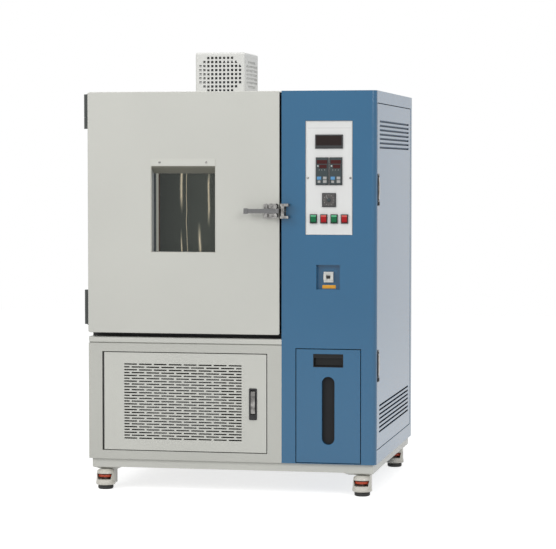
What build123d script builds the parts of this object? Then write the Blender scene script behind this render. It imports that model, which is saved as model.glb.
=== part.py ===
"""Environmental test chamber: an insulated cabinet with a machine room below and a control tower beside it.

Millimetres. While the pieces are made, x runs from the left side of the cabinet, y from the front of the
control tower to the back, and z up from the floor. The last step moves every piece so that the origin is
the middle of the floor area that the whole object covers, with +Z up and the front facing -Y.
"""
from build123d import *
from math import cos, radians, sin, tan
import os

# Cabinet
CABINET_WIDTH = 1020.0
CABINET_DEPTH = 880.0
TOWER_WIDTH = 330.0
MACHINE_ROOM_HEIGHT = 429.0
CHAMBER_BODY_HEIGHT = 855.5
CHAMBER_SETBACK = 56.0
SHEET = 2.0
FLAT_GAP = 0.3

# Base frame and casters
BASE_INSET = 10.0
BASE_TUBE_WIDTH = 40.0
BASE_HEIGHT = 30.0
CORNER_PLATE = 104.0
CORNER_PLATE_THICKNESS = 8.0
CORNER_PLATE_BEVEL = 16.0
CASTER_HEIGHT = 80.0
CASTER_INSET = 52.0
CASTER_TOP_GAP = 1.0
HOUSING_RADIUS = 33.0
HOUSING_FLARE = 1.5
HOUSING_SKIRT = 16.0
HOUSING_NECK_RADIUS = 18.0
HOUSING_FORK_WIDTH = 46.0
HOUSING_BOTTOM = 15.0
HOUSING_CROWN = 7.0
WINDOW_LOW = 34.5
WINDOW_HIGH = 55.0
WINDOW_WIDTH = 54.0
WINDOW_TAPER = 3.5
SWIVEL_PIN_RADIUS = 8.0
BEARING_CLEARANCE = 0.05
FOOT_OFFSET = 22.0
FOOT_RADIUS = 27.0
FOOT_THICKNESS = 11.0
FOOT_STEM_RADIUS = 6.0
FOOT_STEM_END = 8.0
THUMBWHEEL_RADIUS = 25.0
THUMBWHEEL_HEIGHT = 9.0
FOOT_TRAVEL_UP = 3.0
CASTER_WHEEL_OFFSET = 26.0
CASTER_WHEEL_RADIUS = 23.5
CASTER_WHEEL_WIDTH = 24.0
CASTER_WHEEL_LIFT = 1.5
CASTER_WHEEL_SIDE_GAP = 1.0
CASTER_AXLE_RADIUS = 4.0

# Machine room front and its vent door
SILL_HEIGHT = 18.0
SILL_GROOVE = 4.0
SILL_GROOVE_DEPTH = 6.0
SILL_RADIUS = 6.0
FRONT_FRAME_DEPTH = 18.0
FRONT_FRAME_LEFT = 48.5
FRONT_FRAME_RIGHT = 50.5
FRONT_FRAME_TOP = 29.0
FRONT_FRAME_BOTTOM = 30.0
PANEL_GAP = 3.0
VENT_DOOR_THICKNESS = 16.0
VENT_SLOT_LENGTH = 46.0
VENT_SLOT_HEIGHT = 4.5
VENT_SLOT_PITCH = 53.5
VENT_ROW_PITCH = 10.0
VENT_FIELD_LEFT = 77.0
VENT_FIELD_RIGHT = 87.5
VENT_FIELD_BOTTOM = 39.0
VENT_FIELD_TOP = 38.5
HINGE_PIN_RADIUS = 3.0
HINGE_PIN_REACH = 10.0

# Flush latches of the vent door and of the side door
LATCH_PLATE_WIDTH = 28.0
LATCH_PLATE_HEIGHT = 110.0
LATCH_PLATE_PROUD = 2.0
LATCH_WALL = 2.0
LATCH_POCKET_WIDTH = 19.0
LATCH_POCKET_HEIGHT = 86.0
LATCH_POCKET_DEPTH = 11.0
LATCH_POCKET_RISE = 6.0
LATCH_BLADE_WIDTH = 15.0
LATCH_BLADE_THICKNESS = 6.0
LATCH_BLADE_PROUD = 4.0
LATCH_BLADE_BOW = 2.5
LATCH_BLADE_END_GAP = 4.0
LATCH_LOCK_RADIUS = 6.5
LATCH_LOCK_HEIGHT = 3.0
VENT_LATCH_FROM_RIGHT = 47.0
VENT_LATCH_HEIGHT = 169.0

# Test chamber body
SIDE_INSULATION = 95.0
END_INSULATION = 127.75
BACK_INSULATION = 100.0
LINER_SHEET = 1.5
LINER_FLANGE = 40.0
BREAKER_STRIP_THICKNESS = 6.0
SHELF_RAIL_WIDTH = 12.0
SHELF_RAIL_HEIGHT = 8.0
SHELF_RAIL_LEVEL = 92.0
SHELF_ROD_RADIUS = 3.0
SHELF_FRAME_RADIUS = 4.0
SHELF_RODS = 11
SHELF_SIDE_GAP = 2.0
SHELF_FRONT = 66.0
SHELF_BACK_GAP = 30.0
AIR_DUCT_DEPTH = 224.0
BAFFLE_FOOT = 32.0
BAFFLE_HEAD = 38.0
BAFFLE_SLOTS = 9
COIL_TUBES = 4
COIL_TUBE_STUB = 10.0
COIL_TUBE_RADIUS = 6.0
COIL_DEPTH = 80.0
COIL_HEIGHT = 170.0
COIL_LEVEL = 60.0
HEATER_ROD_RADIUS = 4.0
HEATER_RODS = 3

# Chamber door
DOOR_PROUD = 6.0
DOOR_THICKNESS = 54.0
DOOR_SHEET = 1.5
DOOR_SIDE_GAP = 6.5
DOOR_UNDER_GAP = 15.0
DOOR_TOP_GAP = 0.5
DOOR_EDGE_RADIUS = 7.0
DOOR_PLUG_DEPTH = 32.0
DOOR_PLUG_GAP = 8.0
GASKET_WIDTH = 16.0
WINDOW_OPENING_WIDTH = 231.0
WINDOW_OPENING_HEIGHT = 300.7
WINDOW_FROM_RIGHT = 225.0
WINDOW_FROM_TOP = 257.3
WINDOW_RECESS = 36.0
GLASS_THICKNESS = 6.0
GLASS_PANES = 3
GLASS_SPACING = 14.0
WINDOW_STRIP_HEIGHT = 25.5
WINDOW_STRIP_THICKNESS = 1.5
WINDOW_HEAD_HEIGHT = 24.0
WINDOW_FRAME_WALL = 2.0
HINGE_HEIGHT = 121.0
HINGE_FROM_TOP = 6.0
HINGE_FROM_BOTTOM = 25.5
HINGE_REACH = 16.0
HINGE_KNUCKLE_RADIUS = 12.0
HINGE_LEAF_THICKNESS = 4.0
HINGE_LEAF_LENGTH = 58.0
DOOR_HINGE_PIN_RADIUS = 4.0
HINGE_KNUCKLE_GAP = 0.5

# Door latch
LATCH_CENTRE_FROM_BOTTOM = 428.0
LATCH_BASE_WIDTH = 50.0
LATCH_BASE_HEIGHT = 51.0
LATCH_BASE_THICKNESS = 9.0
LATCH_BASE_FROM_EDGE = 3.0
LATCH_EAR_THICKNESS = 11.0
LATCH_STANDOFF = 20.0
LATCH_PIVOT_RADIUS = 4.0
LATCH_HEAD_RADIUS = 17.0
LATCH_HEAD_GAP = 1.0
LATCH_PIVOT_FROM_EDGE = 10.0
LEVER_LENGTH = 108.5
LEVER_HEIGHT = 15.0
LEVER_THICKNESS = 10.0
GRIP_LENGTH = 14.0
GRIP_HEIGHT = 20.0
GRIP_THICKNESS = 14.0
KEEPER_WIDTH = 30.0
KEEPER_SPINE_WIDTH = 16.0
KEEPER_EAR_THICKNESS = 9.0
KEEPER_REACH = 38.0
KEEPER_PLATE_THICKNESS = 5.0
KEEPER_ROLLER_RADIUS = 7.5

# Tower casing
TOWER_CORNER_RADIUS = 20.0
TOWER_HEAD = 41.5
TOWER_FOOT = 48.0
TOWER_RAIL_DEPTH = 16.0
REAR_STILE = 35.0
SIDE_DOOR_THICKNESS = 18.0
LOUVRE_COUNT = 7
LOUVRE_PITCH = 15.0
LOUVRE_HEIGHT = 7.0
LOUVRE_BLADE_DEPTH = 7.0
LOUVRE_BLADE_DROP = 8.0
LOUVRE_BLADE_SHEET = 1.2
LOUVRE_END_MARGIN = 53.0
LOUVRE_TOP_MARGIN = 56.5
LOUVRE_BOTTOM_MARGIN = 53.0
SIDE_LATCH_FROM_EDGE = 20.0
SIDE_LATCH_UPPER = 894.0
SIDE_LATCH_LOWER = 288.0

# Control plate and what it carries
PLATE_WIDTH = 164.0
PLATE_HEIGHT = 391.5
PLATE_THICKNESS = 2.0
PLATE_FROM_RIGHT = 82.5
PLATE_FROM_TOP = 103.0
PLATE_SINK = 4.0
PLATE_EDGE = 0.8
PLATE_BORDER = 4.6
PLATE_FLANGE = 8.0
METER_WIDTH = 96.0
METER_HEIGHT = 48.0
METER_FROM_TOP = 47.5
CONTROLLER_WIDTH = 44.5
CONTROLLER_HEIGHT = 95.0
CONTROLLER_PITCH = 47.5
CONTROLLER_FROM_TOP = 125.5
TIMER_SIZE = 48.0
TIMER_FROM_TOP = 247.5
INSTRUMENT_PROUD = 6.0
INSTRUMENT_DEPTH = 85.0
INSTRUMENT_BODY_MARGIN = 2.0
BUTTON_WIDTH = 24.5
BUTTON_HEIGHT = 31.5
BUTTON_PITCH = 36.0
BUTTON_COUNT = 4
BUTTON_FROM_TOP = 320.5
BUTTON_BEZEL_PROUD = 5.0
BUTTON_BEZEL_WALL = 2.5
BUTTON_CAP_PROUD = 9.0
BUTTON_CAP_LENGTH = 18.0
BUTTON_CAP_GAP = 0.4
BUTTON_BODY_DEPTH = 40.0

# Breaker and its pocket
POCKET_WIDTH = 82.0
POCKET_HEIGHT = 84.0
POCKET_DEPTH = 22.0
POCKET_FROM_RIGHT = 126.5
POCKET_FROM_TOP = 597.5
BREAKER_WIDTH = 33.0
BREAKER_HEIGHT = 36.0
BREAKER_DEPTH = 60.0
BREAKER_PROUD = 12.0
BREAKER_NOSE = 5.0
BREAKER_NOSE_HEIGHT = 20.0
TOGGLE_WIDTH = 14.0
TOGGLE_RADIUS = 5.0
TOGGLE_LENGTH = 8.0
TOGGLE_THICKNESS = 4.0
TOGGLE_TILT = 25.0

# Drawer
DRAWER_WIDTH = 223.0
DRAWER_HEIGHT = 391.5
DRAWER_FROM_RIGHT = 55.0
DRAWER_FROM_BOTTOM = 4.5
DRAWER_THICKNESS = 18.0
DRAWER_TRAY_DEPTH = 520.0
DRAWER_TRAY_WALL = 30.0
DRAWER_TRAY_GAP = 13.0
RUNNER_HEIGHT = 30.0
RUNNER_THICKNESS = 10.0
RUNNER_CLEARANCE = 0.4
HANDLE_WIDTH = 105.0
HANDLE_HEIGHT = 46.0
HANDLE_FROM_TOP = 15.5
HANDLE_DEPTH = 14.0
HANDLE_WALL = 3.0
HANDLE_LIP_BEVEL = 5.0
LEVEL_SLOT_WIDTH = 44.5
LEVEL_SLOT_HEIGHT = 235.0
LEVEL_SLOT_FROM_TOP = 94.0
LEVEL_WINDOW_THICKNESS = 4.0
TANK_WIDTH = 180.0
TANK_DEPTH = 320.0
TANK_HEIGHT = 290.0
TANK_RADIUS = 18.0
TANK_CAP_RADIUS = 30.0
TANK_CAP_HEIGHT = 22.0
TANK_FRONT_GAP = 20.0

# Fan motor and its cover
COVER_WIDTH = 189.0
COVER_DEPTH = 238.0
COVER_FRONT_REACH = 95.0
COVER_HEIGHT = 163.5
COVER_RADIUS = 8.0
COVER_SHEET = 1.5
COVER_HOLE = 9.0
COVER_HOLE_PITCH = 15.05
COVER_COLUMNS = 11
COVER_ROWS = 9
COVER_HOLES_TOP_MARGIN = 16.0
COVER_SIDE_COLUMNS = 13
MOTOR_RADIUS = 62.0
MOTOR_HEIGHT = 112.0
MOTOR_CAP_RADIUS = 46.0
MOTOR_CAP_HEIGHT = 12.0
MOTOR_FOOT = 136.0
MOTOR_FOOT_THICKNESS = 6.0
FAN_SHAFT_RADIUS = 8.0
FAN_SHAFT_ENGAGEMENT = 40.0
FAN_SHAFT_HOLE_RADIUS = 14.0
FAN_RADIUS = 92.0
FAN_INNER_RADIUS = 66.0
FAN_HEIGHT = 48.0
FAN_DISC = 3.0
FAN_BLADES = 12
FAN_HUB_RADIUS = 20.0
FAN_HUB_HEIGHT = 26.0
FAN_CEILING_GAP = 46.0

# Refrigeration
COMPRESSOR_RADIUS = 84.0
COMPRESSOR_HEIGHT = 210.0
COMPRESSOR_LEG = 16.0
COMPRESSOR_FOOT = 190.0
COMPRESSOR_PLACE = (170.0, 420.0)
CONDENSER_WIDTH = 314.0
CONDENSER_HEIGHT = 260.0
CONDENSER_DEPTH = 60.0
CONDENSER_LEFT = 150.0
CONDENSER_FRONT = 70.0
CONDENSER_PEDESTAL = 32.0
CONDENSER_TUBES = 4
SHROUD_DEPTH = 40.0
CONDENSER_FAN_RADIUS = 105.0
CONDENSER_FAN_GAP = 5.0
CONDENSER_FAN_BLADES = 5
CONDENSER_HUB_RADIUS = 26.0
CONDENSER_SHAFT_RADIUS = 5.0
CONDENSER_MOTOR_RADIUS = 38.0
CONDENSER_MOTOR_LENGTH = 70.0

# Electrics plate inside the tower
ELECTRICS_GAP = 8.0
ELECTRICS_FRONT = 150.0
ELECTRICS_BACK = 170.0
ELECTRICS_LEVEL = 560.0
ELECTRICS_HEIGHT = 560.0
RELAY_COUNT = 4
RELAY_FROM_TOP = 80.0
RELAY_HEIGHT = 70.0
RELAY_DEPTH = 70.0
RELAY_FACE = 8.0
RELAY_FACE_MARGIN = 15.0
TRANSFORMER_PLACE = (60.0, 180.0)
TRANSFORMER_SIZE = (90.0, 110.0, 100.0)
TRANSFORMER_BEVEL = 8.0
CONTACTOR_PLACE = (280.0, 190.0)
CONTACTOR_SIZE = (80.0, 80.0, 100.0)
CONTACTOR_FACE = 15.0
CONTACTOR_FACE_MARGIN = 20.0
TERMINAL_COUNT = 12
TERMINAL_RAIL = (8.0, 35.0)
TERMINAL_SIZE = (37.0, 55.0)
TERMINAL_LEVEL = 50.0
TERMINAL_END_GAP = 50.0

# Levels and places that follow from the sizes above
CABINET_BOTTOM = CASTER_HEIGHT + BASE_HEIGHT
MACHINE_FLOOR = CABINET_BOTTOM + SHEET
DECK = CABINET_BOTTOM + MACHINE_ROOM_HEIGHT
ROOF = DECK + CHAMBER_BODY_HEIGHT
CHAMBER_WIDTH = CABINET_WIDTH - TOWER_WIDTH
MOUTH_LEFT = SIDE_INSULATION
MOUTH_RIGHT = CHAMBER_WIDTH - SIDE_INSULATION
MOUTH_LOW = DECK + END_INSULATION
MOUTH_HIGH = ROOF - END_INSULATION
LINER_BACK = CABINET_DEPTH - BACK_INSULATION
DOOR_FRONT = -DOOR_PROUD
DOOR_BACK = DOOR_FRONT + DOOR_THICKNESS
DOOR_RIGHT = CHAMBER_WIDTH - DOOR_SIDE_GAP
DOOR_LOW = DECK + DOOR_UNDER_GAP
DOOR_HIGH = ROOF - DOOR_TOP_GAP
BAFFLE_FRONT = LINER_BACK - AIR_DUCT_DEPTH
FAN_X = CHAMBER_WIDTH / 2
FAN_Y = (BAFFLE_FRONT + LINER_BACK) / 2
LATCH_LEVEL = DOOR_LOW + LATCH_CENTRE_FROM_BOTTOM
LATCH_PIVOT_X = DOOR_RIGHT - LATCH_PIVOT_FROM_EDGE
LATCH_PIVOT_Y = DOOR_FRONT - LATCH_STANDOFF
HINGE_PIN_X = -HINGE_REACH
HINGE_PIN_Y = (DOOR_BACK + CHAMBER_SETBACK) / 2
HINGE_LEVELS = (DOOR_HIGH - HINGE_FROM_TOP - HINGE_HEIGHT, DOOR_LOW + HINGE_FROM_BOTTOM)
FRAME_TOP = DECK - SILL_HEIGHT - SILL_GROOVE
VENT_LEFT = FRONT_FRAME_LEFT + PANEL_GAP
VENT_RIGHT = CHAMBER_WIDTH - FRONT_FRAME_RIGHT - PANEL_GAP
VENT_LOW = CABINET_BOTTOM + FRONT_FRAME_BOTTOM + PANEL_GAP
VENT_HIGH = FRAME_TOP - FRONT_FRAME_TOP - PANEL_GAP
SIDE_DOOR_FRONT = TOWER_CORNER_RADIUS
SIDE_DOOR_BACK = CABINET_DEPTH - REAR_STILE
SIDE_DOOR_LOW = CABINET_BOTTOM + TOWER_FOOT + PANEL_GAP
SIDE_DOOR_HIGH = ROOF - TOWER_HEAD - PANEL_GAP
FOOT_TRAVEL_DOWN = WINDOW_HIGH - WINDOW_LOW - THUMBWHEEL_HEIGHT - FOOT_TRAVEL_UP - 2 * FLAT_GAP
SIDE_LATCH_Y = SIDE_DOOR_FRONT + SIDE_LATCH_FROM_EDGE
SIDE_PIVOT_X = CABINET_WIDTH - SIDE_DOOR_THICKNESS / 2
SIDE_PIVOT_Y = SIDE_DOOR_BACK - SIDE_DOOR_THICKNESS / 2
VENT_PIVOT_X = VENT_LEFT + VENT_DOOR_THICKNESS / 2
VENT_PIVOT_Y = VENT_DOOR_THICKNESS / 2
PLATE_LEFT = CABINET_WIDTH - PLATE_FROM_RIGHT - PLATE_WIDTH
PLATE_TOP = ROOF - PLATE_FROM_TOP
PLATE_CENTRE = PLATE_LEFT + PLATE_WIDTH / 2
POCKET_LEFT = CABINET_WIDTH - POCKET_FROM_RIGHT - POCKET_WIDTH
POCKET_TOP = ROOF - POCKET_FROM_TOP
DRAWER_LEFT = CABINET_WIDTH - DRAWER_FROM_RIGHT - DRAWER_WIDTH
DRAWER_LOW = CABINET_BOTTOM + DRAWER_FROM_BOTTOM
DRAWER_HIGH = DRAWER_LOW + DRAWER_HEIGHT
ELECTRICS_DEPTH = CABINET_DEPTH - ELECTRICS_FRONT - ELECTRICS_BACK

# How far the whole object reaches past the cabinet, which puts the origin in the middle of its floor area
REACH_LEFT = HINGE_REACH + HINGE_KNUCKLE_RADIUS
REACH_RIGHT = LATCH_PLATE_PROUD + LATCH_BLADE_PROUD
REACH_FRONT = DOOR_PROUD + LATCH_STANDOFF + LATCH_HEAD_RADIUS + (GRIP_THICKNESS - LEVER_THICKNESS) / 2
MIDDLE_X = (CABINET_WIDTH + REACH_RIGHT - REACH_LEFT) / 2
MIDDLE_Y = (CABINET_DEPTH - REACH_FRONT) / 2


def block(x, y, z):
    """A box between two x values, two y values and two z values."""
    size = Box(x[1] - x[0], y[1] - y[0], z[1] - z[0], align=(Align.MIN, Align.MIN, Align.MIN))
    return Pos(x[0], y[0], z[0]) * size


def post(x, y, z, radius):
    """An upright cylinder between two z values."""
    return Pos(x, y, z[0]) * Cylinder(radius, z[1] - z[0], align=(Align.CENTER, Align.CENTER, Align.MIN))


def rod_x(x, y, z, radius):
    """A cylinder along x between two x values."""
    turned = Rot(0, 90, 0) * Cylinder(radius, x[1] - x[0], align=(Align.CENTER, Align.CENTER, Align.MIN))
    return Pos(x[0], y, z) * turned


def rod_y(x, y, z, radius):
    """A cylinder along y between two y values."""
    turned = Rot(-90, 0, 0) * Cylinder(radius, y[1] - y[0], align=(Align.CENTER, Align.CENTER, Align.MIN))
    return Pos(x, y[0], z) * turned


def facing_front(sketch, y):
    """Extrudes a sketch drawn in x and z from the first y value back to the second."""
    plane = Plane(origin=(0, y[1], 0), x_dir=(1, 0, 0), z_dir=(0, -1, 0))
    return extrude(plane * sketch, y[1] - y[0])


def facing_side(sketch, x):
    """Extrudes a sketch drawn in y and z from the first x value out to the second."""
    plane = Plane(origin=(x[0], 0, 0), x_dir=(0, 1, 0), z_dir=(1, 0, 0))
    return extrude(plane * sketch, x[1] - x[0])


def rectangle(a, b, radius=0.0):
    """A rectangle sketch between two first and two second coordinates, with rounded corners if asked."""
    width = a[1] - a[0]
    height = b[1] - b[0]
    shape = RectangleRounded(width, height, radius) if radius else Rectangle(width, height)
    return Pos((a[0] + a[1]) / 2, (b[0] + b[1]) / 2) * shape


def strips(outer_x, outer_z, inner_x, inner_z, y):
    """The left, right, lower and upper strip of a rectangular frame that faces the front."""
    return [
        block((outer_x[0], inner_x[0]), y, outer_z),
        block((inner_x[1], outer_x[1]), y, outer_z),
        block(inner_x, y, (outer_z[0], inner_z[0])),
        block(inner_x, y, (inner_z[1], outer_z[1])),
    ]


def in_bands(sheet, levels):
    """Parts a sheet at the given levels, so that each band beside an opening is a plain strip."""
    bands = []
    for low, high in zip(levels, levels[1:]):
        bands += (sheet & block((0, CABINET_WIDTH), (0, CABINET_DEPTH), (low, high))).solids()
    return bands


def grown(span, amount):
    """A pair of values moved apart by an amount at each end, or together if it is negative."""
    return span[0] - amount, span[1] + amount


def corner_places(inset):
    """The four places that lie the same distance in from the sides of the cabinet."""
    return [
        ("front_left", inset, inset),
        ("front_right", CABINET_WIDTH - inset, inset),
        ("rear_left", inset, CABINET_DEPTH - inset),
        ("rear_right", CABINET_WIDTH - inset, CABINET_DEPTH - inset),
    ]


def make_base_frame():
    """Four welded tubes and a bevelled plate under each corner that carries a caster."""
    left, right = BASE_INSET, CABINET_WIDTH - BASE_INSET
    front, back = BASE_INSET, CABINET_DEPTH - BASE_INSET
    z = (CASTER_HEIGHT, CABINET_BOTTOM)
    tubes = [
        block((left, right), (front, front + BASE_TUBE_WIDTH), z),
        block((left, right), (back - BASE_TUBE_WIDTH, back), z),
        block((left, left + BASE_TUBE_WIDTH), (front + BASE_TUBE_WIDTH, back - BASE_TUBE_WIDTH), z),
        block((right - BASE_TUBE_WIDTH, right), (front + BASE_TUBE_WIDTH, back - BASE_TUBE_WIDTH), z),
    ]
    reach = CASTER_INSET - BASE_INSET
    plates = []
    for name, x, y in corner_places(CASTER_INSET):
        plate_x = (left, left + CORNER_PLATE) if "left" in name else (right - CORNER_PLATE, right)
        plate_y = (front, front + CORNER_PLATE) if "front" in name else (back - CORNER_PLATE, back)
        plate = block(plate_x, plate_y, (CASTER_HEIGHT - CORNER_PLATE_THICKNESS, CASTER_HEIGHT))
        bottom_edges = plate.edges().group_by(Axis.Z)[0]
        plate = chamfer(bottom_edges, CORNER_PLATE_THICKNESS - 1, CORNER_PLATE_BEVEL)
        bore = post(x, y, (0, CASTER_HEIGHT), SWIVEL_PIN_RADIUS + BEARING_CLEARANCE)
        plates.append(plate - bore)
    return tubes + plates


def make_caster_housing(x, y):
    """The cast bell round the levelling screw, its fork for the wheel, the swivel pin and the wheel axle."""
    top = CASTER_HEIGHT - CORNER_PLATE_THICKNESS - CASTER_TOP_GAP
    foot_y = y - FOOT_OFFSET
    wheel_y = y + CASTER_WHEEL_OFFSET
    wheel_z = CASTER_WHEEL_RADIUS + CASTER_WHEEL_LIFT
    back = wheel_y + CASTER_WHEEL_RADIUS + CASTER_WHEEL_SIDE_GAP
    waist = HOUSING_RADIUS - HOUSING_FLARE
    bell = [
        (0, HOUSING_BOTTOM),
        (waist, HOUSING_BOTTOM),
        (HOUSING_RADIUS + HOUSING_FLARE, HOUSING_BOTTOM + 2 * HOUSING_FLARE),
        (HOUSING_RADIUS + HOUSING_FLARE, HOUSING_BOTTOM + HOUSING_SKIRT / 2),
        (HOUSING_RADIUS, HOUSING_BOTTOM + HOUSING_SKIRT),
        (waist, top - 2 * HOUSING_CROWN),
        (waist - HOUSING_FLARE, top - HOUSING_CROWN),
        (waist - HOUSING_CROWN, top - HOUSING_CROWN / 3),
        (HOUSING_NECK_RADIUS, top),
        (0, top),
    ]
    bell = Pos(x, foot_y, 0) * revolve(Plane.XZ * make_face(Polyline(*bell, close=True)), Axis.Z)
    half = HOUSING_FORK_WIDTH / 2
    fork = block((x - half, x + half), (foot_y, back), (HOUSING_BOTTOM, top - HOUSING_CROWN / 2))
    slot_half = CASTER_WHEEL_WIDTH / 2 + CASTER_WHEEL_SIDE_GAP
    slot_front = wheel_y - CASTER_WHEEL_RADIUS - CASTER_WHEEL_SIDE_GAP
    slot_top = wheel_z + CASTER_WHEEL_RADIUS + CASTER_WHEEL_SIDE_GAP
    wheel_slot = block((x - slot_half, x + slot_half), (slot_front, back + 1), (0, slot_top))
    window = [
        (x - WINDOW_WIDTH / 2, WINDOW_HIGH),
        (x + WINDOW_WIDTH / 2, WINDOW_HIGH),
        (x + WINDOW_WIDTH / 2 - WINDOW_TAPER, WINDOW_LOW),
        (x - WINDOW_WIDTH / 2 + WINDOW_TAPER, WINDOW_LOW),
    ]
    window = facing_front(make_face(Polyline(*window, close=True)), (foot_y - 2 * HOUSING_RADIUS, foot_y))
    room = post(x, foot_y, (WINDOW_LOW, WINDOW_HIGH), THUMBWHEEL_RADIUS + 1)
    stem_hole = post(x, foot_y, (0, top - HOUSING_CROWN), FOOT_STEM_RADIUS + BEARING_CLEARANCE)
    axle = rod_x((x - half, x + half), wheel_y, wheel_z, CASTER_AXLE_RADIUS)
    pin = post(x, y, (top - HOUSING_CROWN, CASTER_HEIGHT), SWIVEL_PIN_RADIUS)
    return bell + fork - wheel_slot - window - room - stem_hole + axle + pin


def make_caster_wheel(x, y):
    """The load wheel, bored to run on the axle of its housing."""
    wheel_y = y + CASTER_WHEEL_OFFSET
    wheel_z = CASTER_WHEEL_RADIUS + CASTER_WHEEL_LIFT
    half = CASTER_WHEEL_WIDTH / 2
    wheel = rod_x((x - half, x + half), wheel_y, wheel_z, CASTER_WHEEL_RADIUS)
    wheel = chamfer(wheel.edges(), CASTER_WHEEL_WIDTH / 8)
    return wheel - rod_x((x - half, x + half), wheel_y, wheel_z, CASTER_AXLE_RADIUS + BEARING_CLEARANCE)


def make_caster_foot(x, y):
    """The rubber pad, its screw and the thumbwheel that shows in the window of the housing."""
    foot_y = y - FOOT_OFFSET
    pad = post(x, foot_y, (0, FOOT_THICKNESS), FOOT_RADIUS)
    pad = chamfer(pad.edges().group_by(Axis.Z)[0], FOOT_THICKNESS / 3)
    thumbwheel_top = WINDOW_HIGH - FOOT_TRAVEL_UP - FLAT_GAP
    stem = post(x, foot_y, (FOOT_THICKNESS, thumbwheel_top + FOOT_STEM_END), FOOT_STEM_RADIUS)
    thumbwheel = post(x, foot_y, (thumbwheel_top - THUMBWHEEL_HEIGHT, thumbwheel_top), THUMBWHEEL_RADIUS)
    return pad + stem + thumbwheel


def make_front_frame():
    """The folded frame round the vent door."""
    outer = rectangle((0, CHAMBER_WIDTH), (CABINET_BOTTOM, FRAME_TOP + SILL_GROOVE))
    opening = rectangle(
        (FRONT_FRAME_LEFT, CHAMBER_WIDTH - FRONT_FRAME_RIGHT),
        (CABINET_BOTTOM + FRONT_FRAME_BOTTOM, FRAME_TOP - FRONT_FRAME_TOP),
    )
    frame = facing_front(outer - opening, (0, FRONT_FRAME_DEPTH))
    frame -= block((0, CHAMBER_WIDTH), (0, SILL_GROOVE_DEPTH), (FRAME_TOP, FRAME_TOP + SILL_GROOVE))
    left_corner = frame.edges().filter_by(Axis.Z).sort_by(Axis.X)[0:2].sort_by(Axis.Y)[0]
    frame = fillet(left_corner, SILL_RADIUS)
    reach = (VENT_LOW - PANEL_GAP - HINGE_PIN_REACH, VENT_HIGH + PANEL_GAP + HINGE_PIN_REACH)
    return frame - post(VENT_PIVOT_X, VENT_PIVOT_Y, reach, HINGE_PIN_RADIUS + BEARING_CLEARANCE)


def make_cabinet_casing():
    """The painted outer sheets of the machine room and of the chamber body."""
    inner_right = CHAMBER_WIDTH - SHEET
    back = (CABINET_DEPTH - SHEET, CABINET_DEPTH)
    hole = post(FAN_X, FAN_Y, (DECK, ROOF + 1), FAN_SHAFT_HOLE_RADIUS)
    sill = block((0, CHAMBER_WIDTH), (0, CHAMBER_SETBACK), (DECK - SILL_HEIGHT, DECK))
    rounded = [
        sill.edges().filter_by(Axis.X).sort_by(Axis.Z)[-2:].sort_by(Axis.Y)[0],
        sill.edges().filter_by(Axis.Z).sort_by(Axis.X)[0:2].sort_by(Axis.Y)[0],
    ]
    floor = (CABINET_BOTTOM, MACHINE_FLOOR)
    side_low = block((0, SHEET), (FRONT_FRAME_DEPTH, back[0]), (floor[1], DECK - SILL_HEIGHT))
    side_low += block((0, SHEET), (CHAMBER_SETBACK, back[0]), (floor[1], DECK - SHEET))
    return [
        fillet(rounded, SILL_RADIUS),
        side_low,
        block((0, CHAMBER_WIDTH), back, (floor[1], DECK - SHEET)),
        block((0, CHAMBER_WIDTH), (FRONT_FRAME_DEPTH, CABINET_DEPTH), floor),
        block((0, CHAMBER_WIDTH), (CHAMBER_SETBACK, CABINET_DEPTH), (DECK - SHEET, DECK)),
        block((0, SHEET), (CHAMBER_SETBACK, back[0]), (DECK, ROOF - SHEET)),
        block((inner_right, CHAMBER_WIDTH), (CHAMBER_SETBACK, back[0]), (DECK, ROOF - SHEET)),
        block((0, CHAMBER_WIDTH), back, (DECK, ROOF - SHEET)),
        block((0, CHAMBER_WIDTH), (CHAMBER_SETBACK, CABINET_DEPTH), (ROOF - SHEET, ROOF)) - hole,
    ]


def make_breaker_strip():
    """The black frame that parts the cold liner from the warm outer sheets at the chamber mouth."""
    y = (CHAMBER_SETBACK, CHAMBER_SETBACK + BREAKER_STRIP_THICKNESS)
    inner_x = grown((MOUTH_LEFT, MOUTH_RIGHT), LINER_FLANGE)
    inner_z = grown((MOUTH_LOW, MOUTH_HIGH), LINER_FLANGE)
    return strips((SHEET, CHAMBER_WIDTH - SHEET), (DECK, ROOF - SHEET), inner_x, inner_z, y)


def make_liner():
    """The stainless box, welded from five sheets, with its front flange and the two rails of the shelf."""
    wall = LINER_SHEET
    x, z = (MOUTH_LEFT, MOUTH_RIGHT), (MOUTH_LOW, MOUTH_HIGH)
    outer_x, outer_z = grown(x, wall), grown(z, wall)
    left, right, floor, ceiling = strips(outer_x, outer_z, x, z, (CHAMBER_SETBACK, LINER_BACK))
    back = block(outer_x, (LINER_BACK, LINER_BACK + wall), outer_z)
    hole = post(FAN_X, FAN_Y, (DECK, ROOF), FAN_SHAFT_HOLE_RADIUS)
    flange_y = (CHAMBER_SETBACK, CHAMBER_SETBACK + wall)
    flange = strips(grown(x, LINER_FLANGE), grown(z, LINER_FLANGE), outer_x, outer_z, flange_y)
    level = MOUTH_LOW + SHELF_RAIL_LEVEL
    depth = (CHAMBER_SETBACK + SHELF_FRONT, BAFFLE_FRONT)
    height = (level, level + SHELF_RAIL_HEIGHT)
    rails = [
        block((MOUTH_LEFT, MOUTH_LEFT + SHELF_RAIL_WIDTH), depth, height),
        block((MOUTH_RIGHT - SHELF_RAIL_WIDTH, MOUTH_RIGHT), depth, height),
    ]
    return [left, right, floor, ceiling - hole, back] + flange + rails


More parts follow.
